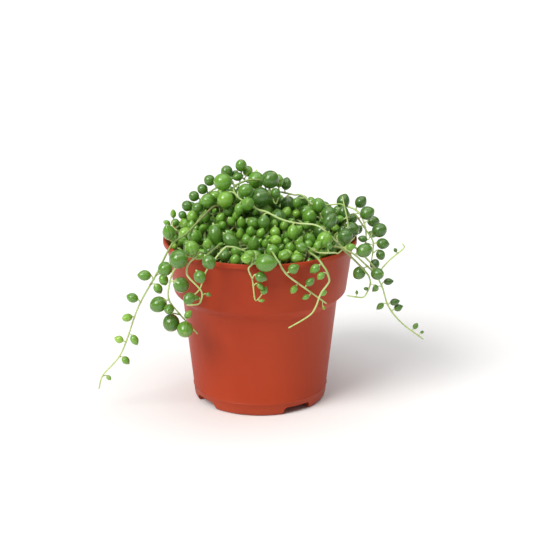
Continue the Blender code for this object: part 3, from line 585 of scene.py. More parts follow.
# The wall as it shows, with the corners of the moulding rounded: from the floor up the inside,
# over the lip and down the outside to the foot.
POT_SKIN = [(5.8, 0.0), (5.8, 34.6), (6.1, 35.4), (7.0, 36.0), (57.0, 41.4), (58.2, 42.0),
            (61.6, 45.5), (62.6, 46.1), (87.6, 49.9), (88.6, 50.2), (89.6, 51.0), (90.4, 51.6),
            (90.85, 52.0), (91.0, 52.4), (90.9, 52.75), (90.6, 52.95), (90.2, 53.0), (88.8, 53.0),
            (88.45, 52.9), (88.3, 52.6), (88.25, 51.6), (88.05, 51.15), (87.6, 50.9), (78.6, 49.7),
            (62.7, 47.5), (61.9, 47.3), (61.3, 46.9), (58.0, 43.5), (57.3, 42.9), (56.6, 42.6),
            (7.4, 37.15), (7.1, 37.3), (6.9, 37.42), (6.6, 37.3), (6.3, 37.05), (3.0, 36.8),
            (1.6, 36.5), (0.7, 36.1), (0.2, 35.7), (0.0, 35.3), (0.0, 34.5), (0.2, 34.2),
            (3.4, 33.9), (4.2, 33.5), (4.6, 32.7), (4.6, 0.0)]
SKIN_TURNS = 160
SHARP_EDGE = math.radians(40)
FOOT_RADIUS = 35.4
NOTCH_ANGLES = (34.0, 124.0, 214.0, 304.0)
NOTCH_WIDTH = 17.0
NOTCH_HEIGHT = 4.0
NOTCH_DEPTH = 8.0
NOTCH_ROUNDING = 2.4
DRAIN_HOLES = 5
DRAIN_RADIUS = 3.5
DRAIN_RING = 21.0
FLOOR_MIDDLE = 5.2
FLOOR_CUT = 4.0

# The soil from the bottom up, starting on the axis.
SOIL_OUTLINE = [(6.1, 0.0), (6.1, 34.4), (7.4, 35.5), (57.6, 40.9), (62.0, 45.3)]
SOIL_EDGE = 48.7
SOIL_SMOOTH_FROM = 48.0
SOIL_SUNK = 1.0
SOIL_RINGS = 44
SOIL_TURNS = 128
LUMP_WAVES = 26
LUMP_HEIGHT = 0.7
CRUMBS = 900
CRUMB_SQUASH = ((0.75, 1.25), (0.75, 1.25), (0.6, 1.0))

# ---- colours ----

LEAF_DARK = (0.050, 0.140, 0.016)
LEAF_MIDDLE = (0.130, 0.325, 0.026)
LEAF_LIGHT = (0.260, 0.500, 0.050)
LEAF_PALE = (0.400, 0.600, 0.110)
LEAF_VEIN = (0.300, 0.520, 0.120)
LEAF_WINDOW = (0.045, 0.140, 0.016)
LEAF_EDGE = (0.330, 0.540, 0.130)
LEAF_TIP = (0.360, 0.420, 0.110)
LEAF_BLOOM = (0.480, 0.620, 0.380)
STEM_TIP = (0.500, 0.660, 0.210)
STEM_PALE = (0.560, 0.680, 0.300)
STEM_GREEN = (0.280, 0.430, 0.110)
STEM_OLD = (0.230, 0.200, 0.090)
STEM_BROWN = (0.240, 0.085, 0.035)
POT_DEEP = (0.360, 0.037, 0.011)
POT_BRIGHT = (0.425, 0.050, 0.015)
POT_DUST = (0.500, 0.160, 0.090)
SOIL_DARK = (0.012, 0.008, 0.005)
SOIL_BROWN = (0.055, 0.030, 0.016)
SOIL_FIBRE = (0.150, 0.085, 0.045)
FLOOR_PALE = (0.93, 0.93, 0.93)

# ---- light and camera ----

WORLD_STRENGTH = 0.20
KEY_STRENGTH = 2.5
TOP_STRENGTH = 1.6
# Each sun: heading from the front (+ is right), height and spread in degrees, and its colour.
KEY_SUN = (-46.0, 42.0, 32.0, (1.0, 0.985, 0.95))
TOP_SUN = (60.0, 84.0, 70.0, (1.0, 1.0, 1.0))
# The photo's camera, in metres and degrees.
CAMERA_PLACE = (0.0, -0.8397, 0.3374)
CAMERA_PITCH = 17.44
CAMERA_YAW = 0.243
CAMERA_LENS = 108.07

# ---- looks of the leaves and stems ----

LOOKS_SEED = 5
LEAF_TIP_FROM = 1.7
LEAF_BASE_TO = 0.8
CREASE_DEPTH = 0.035
CREASE_WIDTH = 0.3
YOUNG_RADIUS = 4.4
YOUNG_OVER = 2.6
STEM_PITCH = 1.0
STEM_SIDES = 10
STALK_SIDES = 8
STALK_POINTS = 7
LEAF_SIDES = 22
LEAF_RINGS = 16
ROOT_DEPTH = 1.5
LONG_STEM = 60.0
THICK_STEM_RADIUS = 0.62
THIN_STEM_RADIUS = 0.54
JOINT_SWELL = 0.22
JOINT_LENGTH = 0.8
BROWN_JOINTS = 0.22
# Painted shade: leaves right of the mound are painted a darker green, by up to this much tone, for the shade
# on the side away from the key light.
PAINTED_SHADE_FROM = 35.0
PAINTED_SHADE_OVER = 15.0
PAINTED_SHADE_TONE = 0.34
# Strands whose bare stem is older and browner than the rest, and by how much.
OLD_STEMS = {"strand_right_drop": 0.75, "strand_right_twig": 0.6, "strand_left_long": 0.15,
             "strand_left_cluster": 0.15, "strand_skyline_right": 0.2}

# Leaves that are told apart, by strand and number: the clock hour that the tip points to as seen
# from the front, how far the leaf is drawn out, the length of its tip, and its tone.
SHAPED = {
    "strand_skyline_left": {
        0: (9, 1.0, 0.1, 0.25), 1: (10, 1.0, 0.1, 0.15), 2: (10, 1.0, 0.08, 0.10),
        3: (10, 1.0, 0.08, 0.12), 4: (10, 1.0, 0.08, 0.12), 5: (10, 1.0, 0.08, 0.15),
        6: (11, 1.0, 0.08, 0.15), 9: (12, 1.08, 0.1, 0.35)},
    "strand_mound_peak": {0: (6, 1.0, 0.05, 0.45), 1: (1, 1.0, 0.05, 0.05), 2: (5, 1.0, 0.1, 0.15)},
    "strand_mound_crown": {0: (2, 1.0, 0.05, 0.0), 6: (8, 1.0, 0.1, 0.5), 7: (9, 1.2, 0.1, 0.55)},
    "strand_mound_left": {
        0: (10, 1.1, 0.1, 0.65), 1: (10, 1.0, 0.08, 0.42), 2: (9, 1.0, 0.1, 0.2),
        3: (8, 1.0, 0.1, 0.65), 5: (8, 1.1, 0.1, 0.72)},
    "strand_mound_lower_left": {0: (12, 1.55, 0.35, 0.3)},
    "strand_mound_middle": {
        1: (1, 1.2, 0.25, 0.55), 2: (11, 1.2, 0.3, 0.5), 4: (5.6, 1.5, 0.4, 0.22),
        5: (4.6, 1.5, 0.35, 0.18), 6: (5, 1.0, 0.1, 0.05)},
    "strand_mound_centre": {
        0: (12, 1.3, 0.3, 0.6), 1: (12, 1.4, 0.3, 0.5), 3: (12, 1.6, 0.4, 0.65),
        4: (12.3, 1.35, 0.45, 0.25)},
    "strand_mound_front": {
        0: (4, 1.05, 0.1, 0.35), 3: (6, 1.05, 0.1, 0.7), 4: (3, 1.05, 0.1, 0.75),
        6: (5, 1.05, 0.1, 0.4)},
    "strand_mound_shoulder": {2: (7, 1.05, 0.1, 0.75)},
    "strand_mound_right": {2: (3, 1.0, 0.06, 0.1)},
    "strand_mound_lower_right": {0: (7, 1.0, 0.1, 0.65)},
    "strand_left_shoot": {1: (12, 1.5, 0.35, 0.6)},
    "strand_left_long": {1: (11.7, 1.25, 0.3, 0.35), 2: (8, 1.0, 0.1, 0.3)},
    "strand_left_cluster": {2: (2, 1.0, 0.06, 0.18)},
    "strand_front_beads": {0: (5, 1.05, 0.1, 0.15), 1: (5, 1.05, 0.1, 0.2)},
    "strand_front_centre": {0: (8, 1.1, 0.15, 0.6), 1: (2.8, 1.12, 0.25, 0.3), 2: (9, 1.1, 0.1, 0.6)},
    "strand_crossing": {0: (9, 1.03, 0.05, 0.45), 2: (7, 1.0, 0.05, 0.6), 7: (7, 1.1, 0.15, 0.62)},
}

# Young leaves fill the gaps between the soil and the mound.
FILLER_TRIES = 2600
FILLER_PIECES = 8
FILLER_STEP = 1.5
FILLER_SWELL = 1.1
FILLER_LEAF_GAP = 0.15
FILLER_STEM_GAP = 0.7


# ---- materials ----

class Nodes:
    """A short way to write a material's nodes."""

    def __init__(self, name):
        self.material = bpy.data.materials.new(name)
        self.material.use_nodes = True
        self.tree = self.material.node_tree
        self.shader = self.tree.nodes["Principled BSDF"]

    def add(self, kind, settings=None, **inputs):
        node = self.tree.nodes.new("ShaderNode" + kind)
        for key, value in (settings or {}).items():
            setattr(node, key, value)
        for key, value in inputs.items():
            self.feed(node.inputs[key.replace("_", " ")], value)
        return node

    def feed(self, socket, value):
        if isinstance(value, bpy.types.NodeSocket):
            self.tree.links.new(value, socket)
        else:
            socket.default_value = value

    def math(self, operation, *values):
        node = self.add("Math", {"operation": operation})
        for socket, value in zip(node.inputs, values):
            self.feed(socket, value)
        return node.outputs[0]

    def mix(self, factor, first, second):
        node = self.add("Mix", {"data_type": "RGBA"})
        self.feed(node.inputs["Factor"], factor)
        for socket, colour in ((node.inputs[6], first), (node.inputs[7], second)):
            self.feed(socket, (*colour, 1.0) if isinstance(colour, tuple) else colour)
        return node.outputs[2]

    def noise(self, scale, detail=3.0, roughness=0.5, vector=None):
        node = self.add("TexNoise", None, Scale=scale, Detail=detail, Roughness=roughness)
        if vector is None:
            vector = self.add("TexCoord").outputs["Object"]
        self.feed(node.inputs["Vector"], vector)
        return node.outputs["Fac"]

    def remap(self, value, low, high, new_low=0.0, new_high=1.0):
        node = self.add("MapRange", {"interpolation_type": "SMOOTHSTEP"})
        for socket, number in zip(node.inputs, (value, low, high, new_low, new_high)):
            self.feed(socket, number)
        return node.outputs[0]

    def ramp(self, value, stops):
        node = self.add("ValToRGB")
        self.feed(node.inputs[0], value)
        elements = node.color_ramp.elements
        while len(elements) < len(stops):
            elements.new(1.0)
        for element, (position, colour) in zip(elements, stops):
            element.position = position
            element.color = (*colour, 1.0)
        return node.outputs[0]

    def attribute(self, name, output):
        return self.add("Attribute", {"attribute_name": name}).outputs[output]

    def bump(self, height, strength, distance):
        node = self.add("Bump", None, Strength=strength, Distance=distance)
        self.feed(node.inputs["Height"], height)
        self.feed(self.shader.inputs["Normal"], node.outputs[0])

    def set(self, **inputs):
        for key, value in inputs.items():
            self.feed(self.shader.inputs[key.replace("_", " ")], value)


def leaf_material():
    """Waxy green skin: a tone for each leaf, a darker window along it, and fine lengthwise lines."""
    n = Nodes("pearl_leaf")
    place = n.add("SeparateXYZ", None, Vector=n.attribute("leaf_place", "Vector"))
    across, over, along = place.outputs
    # The tone holds each leaf's own green and, for leaves right of the mound, painted shade.
    tone = n.attribute("tone", "Fac")
    mottle = n.noise(420.0, 3.0)
    patch = n.noise(120.0, 2.0)
    shade = n.math("ADD", tone, n.math("MULTIPLY", n.math("SUBTRACT", patch, 0.5), 0.22))
    base = n.ramp(shade, [(0.0, LEAF_DARK), (0.45, LEAF_MIDDLE), (0.8, LEAF_LIGHT), (1.0, LEAF_PALE)])
    angle = n.math("ARCTAN2", over, across)
    wander = n.math("MULTIPLY", mottle, 5.0)
    lines = n.math("SINE", n.math("ADD", n.math("MULTIPLY", angle, 22.0), wander))
    lines = n.remap(lines, -1.0, 1.0, 0.0, 0.065)
    base = n.mix(lines, base, LEAF_VEIN)
    off_middle = n.math("ABSOLUTE", angle)
    window = n.remap(off_middle, 0.03, 0.2, 1.0, 0.0)
    edge = n.remap(n.math("ABSOLUTE", n.math("SUBTRACT", off_middle, 0.27)), 0.0, 0.12, 0.2, 0.0)
    base = n.mix(n.math("MULTIPLY", window, 0.32), base, LEAF_WINDOW)
    base = n.mix(edge, base, LEAF_EDGE)
    base = n.mix(n.remap(along, -0.84, -1.0, 0.0, 0.75), base, STEM_PALE)
    base = n.mix(n.remap(along, 0.93, 1.0, 0.0, 0.5), base, LEAF_TIP)
    base = n.mix(n.remap(mottle, 0.55, 0.78, 0.0, 0.08), base, LEAF_BLOOM)
    n.set(Base_Color=base, Roughness=n.remap(mottle, 0.3, 0.7, 0.24, 0.38), IOR=1.45,
          Subsurface_Weight=0.25, Subsurface_Radius=(0.6, 1.0, 0.2), Subsurface_Scale=0.0016,
          Coat_Weight=0.65, Coat_Roughness=0.15, Specular_IOR_Level=0.5)
    n.bump(n.math("ADD", n.math("MULTIPLY", mottle, 0.6), n.math("MULTIPLY", lines, 1.4)), 0.25, 0.0002)
    return n.material


def stem_material():
    """Pale juicy stem, browner where it is old and reddish brown at some of its joints."""
    n = Nodes("pearl_stem")
    age = n.attribute("age", "Fac")
    joint = n.attribute("joint", "Fac")
    tone = n.attribute("tone", "Fac")
    streak = n.noise(600.0, 3.0)
    base = n.ramp(n.math("ADD", age, n.math("MULTIPLY", n.math("SUBTRACT", tone, 0.5), 0.5)),
                  [(0.0, STEM_TIP), (0.4, STEM_PALE), (0.75, STEM_GREEN), (1.0, STEM_OLD)])
    base = n.mix(n.remap(streak, 0.35, 0.75, 0.0, 0.35), base, STEM_GREEN)
    base = n.mix(n.math("MULTIPLY", joint, 0.8), base, STEM_BROWN)
    n.set(Base_Color=base, Roughness=0.42, Subsurface_Weight=0.2,
          Subsurface_Radius=(0.8, 1.0, 0.3), Subsurface_Scale=0.001, Coat_Weight=0.1)
    n.bump(streak, 0.35, 0.00015)
    return n.material


def pot_material():
    """Thin red-orange plastic with a satin moulded skin, faint scuffs and a dusty foot."""
    n = Nodes("terracotta_plastic")
    place = n.add("TexCoord").outputs["Object"]
    height = n.add("SeparateXYZ", None, Vector=place).outputs["Z"]
    tall = n.add("Mapping", None, Vector=place, Scale=(1.0, 1.0, 0.25)).outputs[0]
    cloud = n.noise(18.0, 4.0, 0.55, tall)
    grain = n.noise(900.0, 3.0)
    scuff = n.noise(140.0, 6.0, 0.7, tall)
    base = n.mix(n.remap(cloud, 0.3, 0.7), POT_DEEP, POT_BRIGHT)
    base = n.mix(n.remap(scuff, 0.62, 0.8, 0.0, 0.1), base, POT_DUST)
    base = n.mix(n.remap(height, 0.012, 0.0, 0.0, 0.12), base, POT_DUST)
    n.set(Base_Color=base, Roughness=n.remap(scuff, 0.3, 0.75, 0.38, 0.52), Specular_IOR_Level=0.16,
          Subsurface_Weight=0.06, Subsurface_Radius=(1.0, 0.25, 0.1), Subsurface_Scale=0.001)
    n.bump(n.math("ADD", n.math("MULTIPLY", grain, 0.3), cloud), 0.12, 0.0004)
    return n.material


def soil_material():
    """Dark peat with brown fibres."""
    n = Nodes("peat_soil")
    fine = n.noise(700.0, 6.0, 0.65)
    coarse = n.noise(160.0, 5.0)
    base = n.ramp(coarse, [(0.25, SOIL_DARK), (0.55, SOIL_BROWN), (0.8, SOIL_FIBRE)])
    base = n.mix(n.remap(fine, 0.4, 0.7, 0.0, 0.6), base, SOIL_DARK)
    n.set(Base_Color=base, Roughness=0.95)
    n.bump(n.math("ADD", fine, coarse), 0.8, 0.0012)
    return n.material


def floor_material():
    n = Nodes("studio_floor")
    n.set(Base_Color=(*FLOOR_PALE, 1.0), Roughness=0.9)
    return n.material


# ---- mesh work ----

LEAF_SLOT = 0
STEM_SLOT = 1
STALK_END = (0.0, 0.0, -1.0)


class Skin:
    """Collects rings of points into one mesh, with values on the points and a slot for each face."""

    def __init__(self):
        self.points = []
        self.faces = []
        self.slots = []
        self.values = {"tone": [], "age": [], "joint": []}
        self.leaf_places = []

    def add_ring(self, points, places, tone, age=0.0, joint=0.0):
        """Adds the points of a ring and returns the number of the first."""
        first = len(self.points)
        self.points += [tuple(point) for point in points]
        self.leaf_places += [tuple(place) for place in places]
        for name, value in (("tone", tone), ("age", age), ("joint", joint)):
            self.values[name] += [value] * len(points)
        return first

    def join_rings(self, rings, sides, slot):
        for lower, upper in zip(rings, rings[1:]):
            for side in range(sides):
                after = (side + 1) % sides
                self.faces.append((lower + side, lower + after, upper + after, upper + side))
                self.slots.append(slot)

    def close_ring(self, ring, sides, pole, slot, outward):
        for side in range(sides):
            after = (side + 1) % sides
            face = (ring + side, ring + after, pole) if outward else (ring + after, ring + side, pole)
            self.faces.append(face)
            self.slots.append(slot)

    def to_object(self, name, materials):
        mesh = bpy.data.meshes.new(name)
        mesh.from_pydata([Vector(point) * MM for point in self.points], [], self.faces)
        for material in materials:
            mesh.materials.append(material)
        mesh.polygons.foreach_set("material_index", self.slots)
        mesh.polygons.foreach_set("use_smooth", [True] * len(self.faces))
        for key, values in self.values.items():
            mesh.attributes.new(key, "FLOAT", "POINT").data.foreach_set("value", values)
        places = mesh.attributes.new("leaf_place", "FLOAT_VECTOR", "POINT")
        places.data.foreach_set("vector", [number for place in self.leaf_places for number in place])
        mesh.update()
        piece = bpy.data.objects.new(name, mesh)
        bpy.context.scene.collection.objects.link(piece)
        return piece


def across(direction, hint):
    """Two unit vectors at right angles to a direction and to each other, the first near a hint."""
    first = hint - direction * (hint * direction).sum()
    first = unit(first + 1e-9)
    return first, np.cross(direction, first)


def add_tube(skin, path, radii, ages, joints, tone, sides):
    """A round tube along a path, its frame carried from point to point so that it never twists."""
    directions = np.gradient(path, axis=0)
    directions /= length_of(directions)[:, None]
    hint = np.array([1.0, 0.0, 0.0]) if abs(directions[0][0]) < 0.8 else np.array([0.0, 1.0, 0.0])
    angles = 2 * math.pi * np.arange(sides) / sides
    rings = []
    for point, direction, radius, age, joint in zip(path, directions, radii, ages, joints):
        first, second = across(direction, hint)
        hint = first
        circle = np.cos(angles)[:, None] * first + np.sin(angles)[:, None] * second
        rings.append(skin.add_ring(point + circle * radius, [STALK_END] * sides, tone, age, joint))
    skin.join_rings(rings, sides, STEM_SLOT)
    start = path[0] - directions[0] * radii[0] * 0.3
    end = path[-1] + directions[-1] * radii[-1] * 0.9
    for ring, point, outward in ((rings[0], start, False), (rings[-1], end, True)):
        pole = skin.add_ring([point], [STALK_END], tone, ages[0])
        skin.close_ring(ring, sides, pole, STEM_SLOT, outward)


def leaf_outline(stretch, tip):
    """The girth of each ring of a leaf, and its height above the leaf's middle, from its stalk up."""
    polar = math.pi * (np.arange(LEAF_RINGS) + 0.6) / (LEAF_RINGS + 0.2)
    girth = np.sin(polar) / math.sqrt(stretch)
    height = -np.cos(polar) * math.sqrt(stretch)
    upper = np.clip((polar - LEAF_TIP_FROM) / (math.pi - LEAF_TIP_FROM), 0.0, 1.0)
    height += tip * upper ** 2.4
    girth *= 1.0 - 0.75 * tip * upper ** 1.5
    height -= 0.10 * np.clip((LEAF_BASE_TO - polar) / LEAF_BASE_TO, 0.0, 1.0) ** 2
    return girth, height


def add_leaf(skin, centre, axis, roll, radius, stretch, tip, tone):
    """A waxy drop: a ball drawn out to a point at its tip and a little towards its stalk."""
    girth, height = leaf_outline(stretch, tip)
    level = np.where(height > 0.0, height / height[-1], height / -height[0])
    first, second = across(axis, roll)
    angles = 2 * math.pi * np.arange(LEAF_SIDES) / LEAF_SIDES
    from_crease = (angles + math.pi) % (2 * math.pi) - math.pi
    crease = 1.0 - CREASE_DEPTH * np.exp(-(from_crease / CREASE_WIDTH) ** 2)
    rings = []
    for ring_girth, ring_height, ring_level in zip(girth, height, level):
        dent = 1.0 + (crease - 1.0) * min(1.0, ring_girth * 1.3)
        circle = (np.cos(angles) * dent)[:, None] * first + (np.sin(angles) * dent)[:, None] * second
        points = centre + circle * ring_girth * radius + axis * ring_height * radius
        places = [(math.cos(angle), math.sin(angle), ring_level) for angle in angles]
        rings.append(skin.add_ring(points, places, tone))
    skin.join_rings(rings, LEAF_SIDES, LEAF_SLOT)
    for ring, end, outward in ((rings[0], height[0] - 0.03, False),
                               (rings[-1], height[-1] + 0.10 * tip + 0.01, True)):
        place = (0.0, 1.0, math.copysign(1.0, end))
        pole = skin.add_ring([centre + axis * end * radius], [place], tone)
        skin.close_ring(ring, LEAF_SIDES, pole, LEAF_SLOT, outward)
    return centre + axis * (height[0] - 0.02) * radius


def add_stalk(skin, foot, stalk_end, axis, tangent, radius, tone):
    """The thin stalk that curves from the stem into the base of a leaf."""
    reach = length_of(stalk_end - foot)
    away = unit(stalk_end - foot)
    bend_one = foot + (away * 0.8 + tangent * 0.5) * reach * 0.35
    bend_two = stalk_end - axis * reach * 0.35
    t = np.linspace(0.0, 1.0, STALK_POINTS)[:, None]
    path = ((1 - t) ** 3 * foot + 3 * (1 - t) ** 2 * t * bend_one
            + 3 * (1 - t) * t ** 2 * bend_two + t ** 3 * (stalk_end + axis * 0.12 * radius))
    girth = np.interp(t[:, 0], [0.0, 0.25, 0.75, 1.0], [0.50, 0.34, 0.32, 0.55]) * (0.55 + 0.14 * radius)
    add_tube(skin, path, girth, np.full(STALK_POINTS, 0.2), np.zeros(STALK_POINTS), tone, STALK_SIDES)


# ---- the plant ----

def add_stem(skin, name, fine, feet, chance):
    """A stem that thins towards its end and swells a little at each joint."""
    along = distances_along(fine)
    share = along / along[-1]
    thick = THICK_STEM_RADIUS if along[-1] > LONG_STEM else THIN_STEM_RADIUS
    thick = thick * (1.0 - 0.4 * share ** 1.3)
    joint_marks = np.zeros(len(fine))
    swell = np.zeros(len(fine))
    for foot in feet:
        near = np.exp(-((along - along[foot]) / JOINT_LENGTH) ** 2)
        swell = np.maximum(swell, near * JOINT_SWELL)
        if chance.random() < BROWN_JOINTS:
            joint_marks = np.maximum(joint_marks, near * chance.uniform(0.4, 1.0))
    wobble = np.array([chance.uniform(-0.04, 0.04) for _ in fine])
    ages = np.clip(1.1 - share * 1.25 + OLD_STEMS.get(name, 0.0), 0.0, 1.0)
    radii = thick * (1.0 + swell + wobble)
    add_tube(skin, fine, radii, ages, joint_marks, chance.uniform(0.2, 0.8), STEM_SIDES)


def leaf_look(shaped, centre, radius, outward, tangent, chance):
    """A leaf's axis, roll, stretch, tip and tone: by chance, or as the shaped leaves' table says."""
    drift = np.array([chance.gauss(0, 1), chance.gauss(0, 1), chance.gauss(0, 1) + 0.35])
    axis = unit(outward + tangent * 0.35 + drift * 0.28)
    roll = unit(np.array([chance.gauss(0, 0.6), -0.6 + chance.gauss(0, 0.6), 1.0]))
    small = np.clip((YOUNG_RADIUS - radius) / YOUNG_OVER, 0.0, 1.0)
    stretch = 1.0 + chance.uniform(0.0, 0.12) + small * chance.uniform(0.0, 0.3)
    tip = chance.uniform(0.02, 0.12) + small * chance.uniform(0.05, 0.4)
    # Painted shade: leaves right of the mound get a darker tone, standing in for the shade on the side away
    # from the key light.
    painted_shade = np.clip((centre[0] - PAINTED_SHADE_FROM) / PAINTED_SHADE_OVER, 0.0, 1.0)
    tone = 0.30 + 0.22 * small + chance.gauss(0, 0.18) - PAINTED_SHADE_TONE * painted_shade
    if shaped:
        hour, stretch, tip, tone = shaped
        axis = unit(clock_direction(hour, 0.3))
    return axis, roll, stretch, tip, float(np.clip(tone, 0.0, 1.0))


def strand_piece(name, path, leaves, materials, chance):
    """One strand: its stem, its stalks and its leaves."""
    skin = Skin()
    fine = smooth_path(path, STEM_PITCH)
    fine[0, 2] = SOIL_TOP - ROOT_DEPTH
    feet = [int(np.argmin(length_of(fine - foot))) for _, foot, _ in leaves]
    add_stem(skin, name, fine, feet, chance)
    for number, ((centre, _, radius), foot) in enumerate(zip(leaves, feet)):
        outward = unit(centre - fine[foot])
        tangent = unit(fine[min(foot + 1, len(fine) - 1)] - fine[max(foot - 1, 0)])
        shaped = SHAPED.get(name, {}).get(number)
        axis, roll, *shape = leaf_look(shaped, centre, radius, outward, tangent, chance)
        stalk_end = add_leaf(skin, centre, axis, roll, radius, *shape)
        add_stalk(skin, fine[foot], stalk_end, axis, tangent, radius, chance.uniform(0.3, 0.8))
    piece = skin.to_object(name + "_skin", materials)
    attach(piece, "root")
    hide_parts(name)


def free_spot(x, y, radius, centres, radii, stems):
    """The highest place under the mound where a young leaf fits at (x, y), or None."""
    top = mound_height(x, y) - TOP_DEPTH - 0.5
    for height in np.arange(top, SOIL_TOP + radius + 1.0, -FILLER_STEP):
        spot = np.array([x, y, height])
        off_leaves = (length_of(centres - spot) - radii).min()
        off_stems = length_of(stems - spot).min()
        if off_leaves > radius * FILLER_SWELL + FILLER_LEAF_GAP and off_stems > radius + FILLER_STEM_GAP:
            return spot
    return None


def filler_pieces(plant, materials, chance):
    """Young leaves on short shoots, wherever the strands leave a gap between soil and mound."""
    centres = np.array([leaf[0] for _, _, leaves in plant for leaf in leaves])
    radii = np.array([leaf[2] for _, _, leaves in plant for leaf in leaves])
    stems = np.vstack([smooth_path(path, 2.0) for _, path, _ in plant])
    skins = [Skin() for _ in range(FILLER_PIECES)]
    for _ in range(FILLER_TRIES):
        ring = (RIM_RADIUS - 4.5) * math.sqrt(chance.random())
        angle = chance.uniform(0.0, 2 * math.pi)
        radius = chance.uniform(1.5, 3.1)
        stretch, tip = chance.uniform(1.05, 1.35), chance.uniform(0.1, 0.4)
        tone = min(max(chance.gauss(0.42, 0.16), 0.0), 1.0)
        axis = unit(np.array([chance.gauss(0, 0.5), chance.gauss(0, 0.5) - 0.2, 1.0]))
        x, y = ring * math.cos(angle), ring * math.sin(angle)
        centre = free_spot(x, y, radius, centres, radii, stems)
        if centre is None:
            continue
        centres = np.vstack([centres, centre])
        radii = np.append(radii, radius * FILLER_SWELL)
        skin = skins[int(angle / (2 * math.pi) * FILLER_PIECES) % FILLER_PIECES]
        roll = unit(np.array([chance.gauss(0, 0.6), -0.6, 0.6]))
        base = add_leaf(skin, centre, axis, roll, radius, stretch, tip, tone)
        foot = np.array([x * 0.93, y * 0.93, SOIL_TOP - ROOT_DEPTH])
        path = smooth_path([foot, (foot + base) / 2 - axis * 0.4, base - axis * 1.2, base + axis * 0.3], 1.2)
        count = len(path)
        add_tube(skin, path, np.linspace(0.42, 0.3, count), np.linspace(0.7, 0.2, count),
                 np.zeros(count), 0.5, STALK_SIDES)
    for number, skin in enumerate(skins, start=1):
        piece = skin.to_object(f"young_shoots_{number}", materials)
        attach(piece, "root")


# ---- pot and soil ----

def add_circle(form, radius, height, turns, lift=None):
    """Adds the corners of a circle, level or lifted place by place, and returns them."""
    circle = []
    for number in range(turns):
        angle = 2 * math.pi * number / turns
        x, y = radius * math.cos(angle), radius * math.sin(angle)
        z = height + (lift(x, y) if lift else 0.0)
        circle.append(form.verts.new((x * MM, y * MM, z * MM)))
    return circle


def turned_mesh(outline, turns):
    """A closed turned form from an outline whose ends lie on the axis."""
    form = bmesh.new()
    rings = [add_circle(form, radius, height, turns if radius else 1) for height, radius in outline]
    for upper, lower in zip(rings, rings[1:]):
        for number in range(turns):
            after = (number + 1) % turns
            corners = [upper[number % len(upper)], lower[number % len(lower)],
                       lower[after % len(lower)], upper[after % len(upper)]]
            form.faces.new(list(dict.fromkeys(corners)))
    return finished_mesh(form)


def finished_mesh(form):
    bmesh.ops.recalc_face_normals(form, faces=form.faces)
    mesh = bpy.data.meshes.new("turned")
    form.to_mesh(mesh)
    form.free()
    return mesh


def new_piece(name, mesh, material):
    mesh.name = name
    mesh.materials.append(material)
    piece = bpy.data.objects.new(name, mesh)
    bpy.context.scene.collection.objects.link(piece)
    return piece


def cut_all(piece, cutters):
    """Cuts each cutter from a piece, puts the result in its mesh, and removes the cutters."""
    for cutter in cutters:
        modifier = piece.modifiers.new("cut", "BOOLEAN")
        modifier.operation = "DIFFERENCE"
        modifier.solver = "EXACT"
        modifier.object = cutter
    bpy.context.view_layer.update()
    evaluated = piece.evaluated_get(bpy.context.evaluated_depsgraph_get())
    mesh = bpy.data.meshes.new_from_object(evaluated)
    piece.modifiers.clear()
    piece.data = mesh
    for cutter in cutters:
        bpy.data.objects.remove(cutter)


def round_pot(angle, radius, height):
    """A place in metres, at an angle from the front and a radius and a height in millimetres."""
    return radius * MM * math.sin(angle), -radius * MM * math.cos(angle), height * MM


def foot_notch(angle):
    bpy.ops.mesh.primitive_cube_add(size=1.0, rotation=(0.0, 0.0, angle),
                                    location=round_pot(angle, FOOT_RADIUS, 0.0))
    notch = bpy.context.object
    size = (NOTCH_WIDTH * MM, NOTCH_DEPTH * MM, 2 * NOTCH_HEIGHT * MM, 1.0)
    notch.data.transform(Matrix.Diagonal(size))
    bevel = notch.modifiers.new("round", "BEVEL")
    bevel.width = NOTCH_ROUNDING * MM
    bevel.segments = 5
    return notch


def drain_hole(angle):
    bpy.ops.mesh.primitive_cylinder_add(vertices=32, radius=DRAIN_RADIUS * MM, depth=FLOOR_CUT * MM,
                                        location=round_pot(angle, DRAIN_RING, FLOOR_MIDDLE))
    return bpy.context.object


def pot_piece():
    """The pot's shell, turned from its outline, with its foot notches and drain holes."""
    pot = new_piece("pot_skin", turned_mesh(POT_SKIN, SKIN_TURNS), pot_material())
    cutters = [foot_notch(math.radians(degrees)) for degrees in NOTCH_ANGLES]
    cutters += [drain_hole(2 * math.pi * number / DRAIN_HOLES) for number in range(DRAIN_HOLES)]
    cut_all(pot, cutters)
    pot.data.shade_smooth()
    pot.data.set_sharp_from_angle(angle=SHARP_EDGE)
    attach(pot, "root")
    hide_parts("pot")


def soil_lumps(chance):
    """The height of the soil's lumps as a function of place: waves of many sizes and turns."""
    waves = []
    for _ in range(LUMP_WAVES):
        pitch, start = chance.uniform(0.2, 1.6), chance.uniform(0, 6.28)
        turn, size = chance.uniform(0, 6.28), chance.uniform(0.1, 0.34)
        waves.append((pitch, start, turn, size))

    def lumps(x, y):
        return LUMP_HEIGHT * sum(size * math.sin(pitch * x + start) * math.cos(pitch * 1.1 * y + turn)
                                 for pitch, start, turn, size in waves)

    return lumps


def add_soil_body(form, lumps):
    """The soil's body: a smooth side and a top of fine rings, raised and sunk in lumps."""
    top = SOIL_TOP - SOIL_SUNK
    levels = SOIL_OUTLINE + [(top, SOIL_EDGE * (1 - step / SOIL_RINGS)) for step in range(SOIL_RINGS)]
    axis_ring, *made = [add_circle(form, radius, height, SOIL_TURNS,
                                   lumps if height == top and radius < SOIL_SMOOTH_FROM else None)
                        for height, radius in levels]
    for lower, upper in zip(made, made[1:]):
        for number in range(SOIL_TURNS):
            after = (number + 1) % SOIL_TURNS
            form.faces.new((lower[number], lower[after], upper[after], upper[number]))
    form.faces.new(made[-1])
    form.faces.new(list(reversed(made[0])))
    # The ring on the axis has no width and goes again: a flat face closes the bottom. Blender gives
    # its room to the first crumbs, so without it their corners would come in another order.
    for vert in axis_ring:
        form.verts.remove(vert)


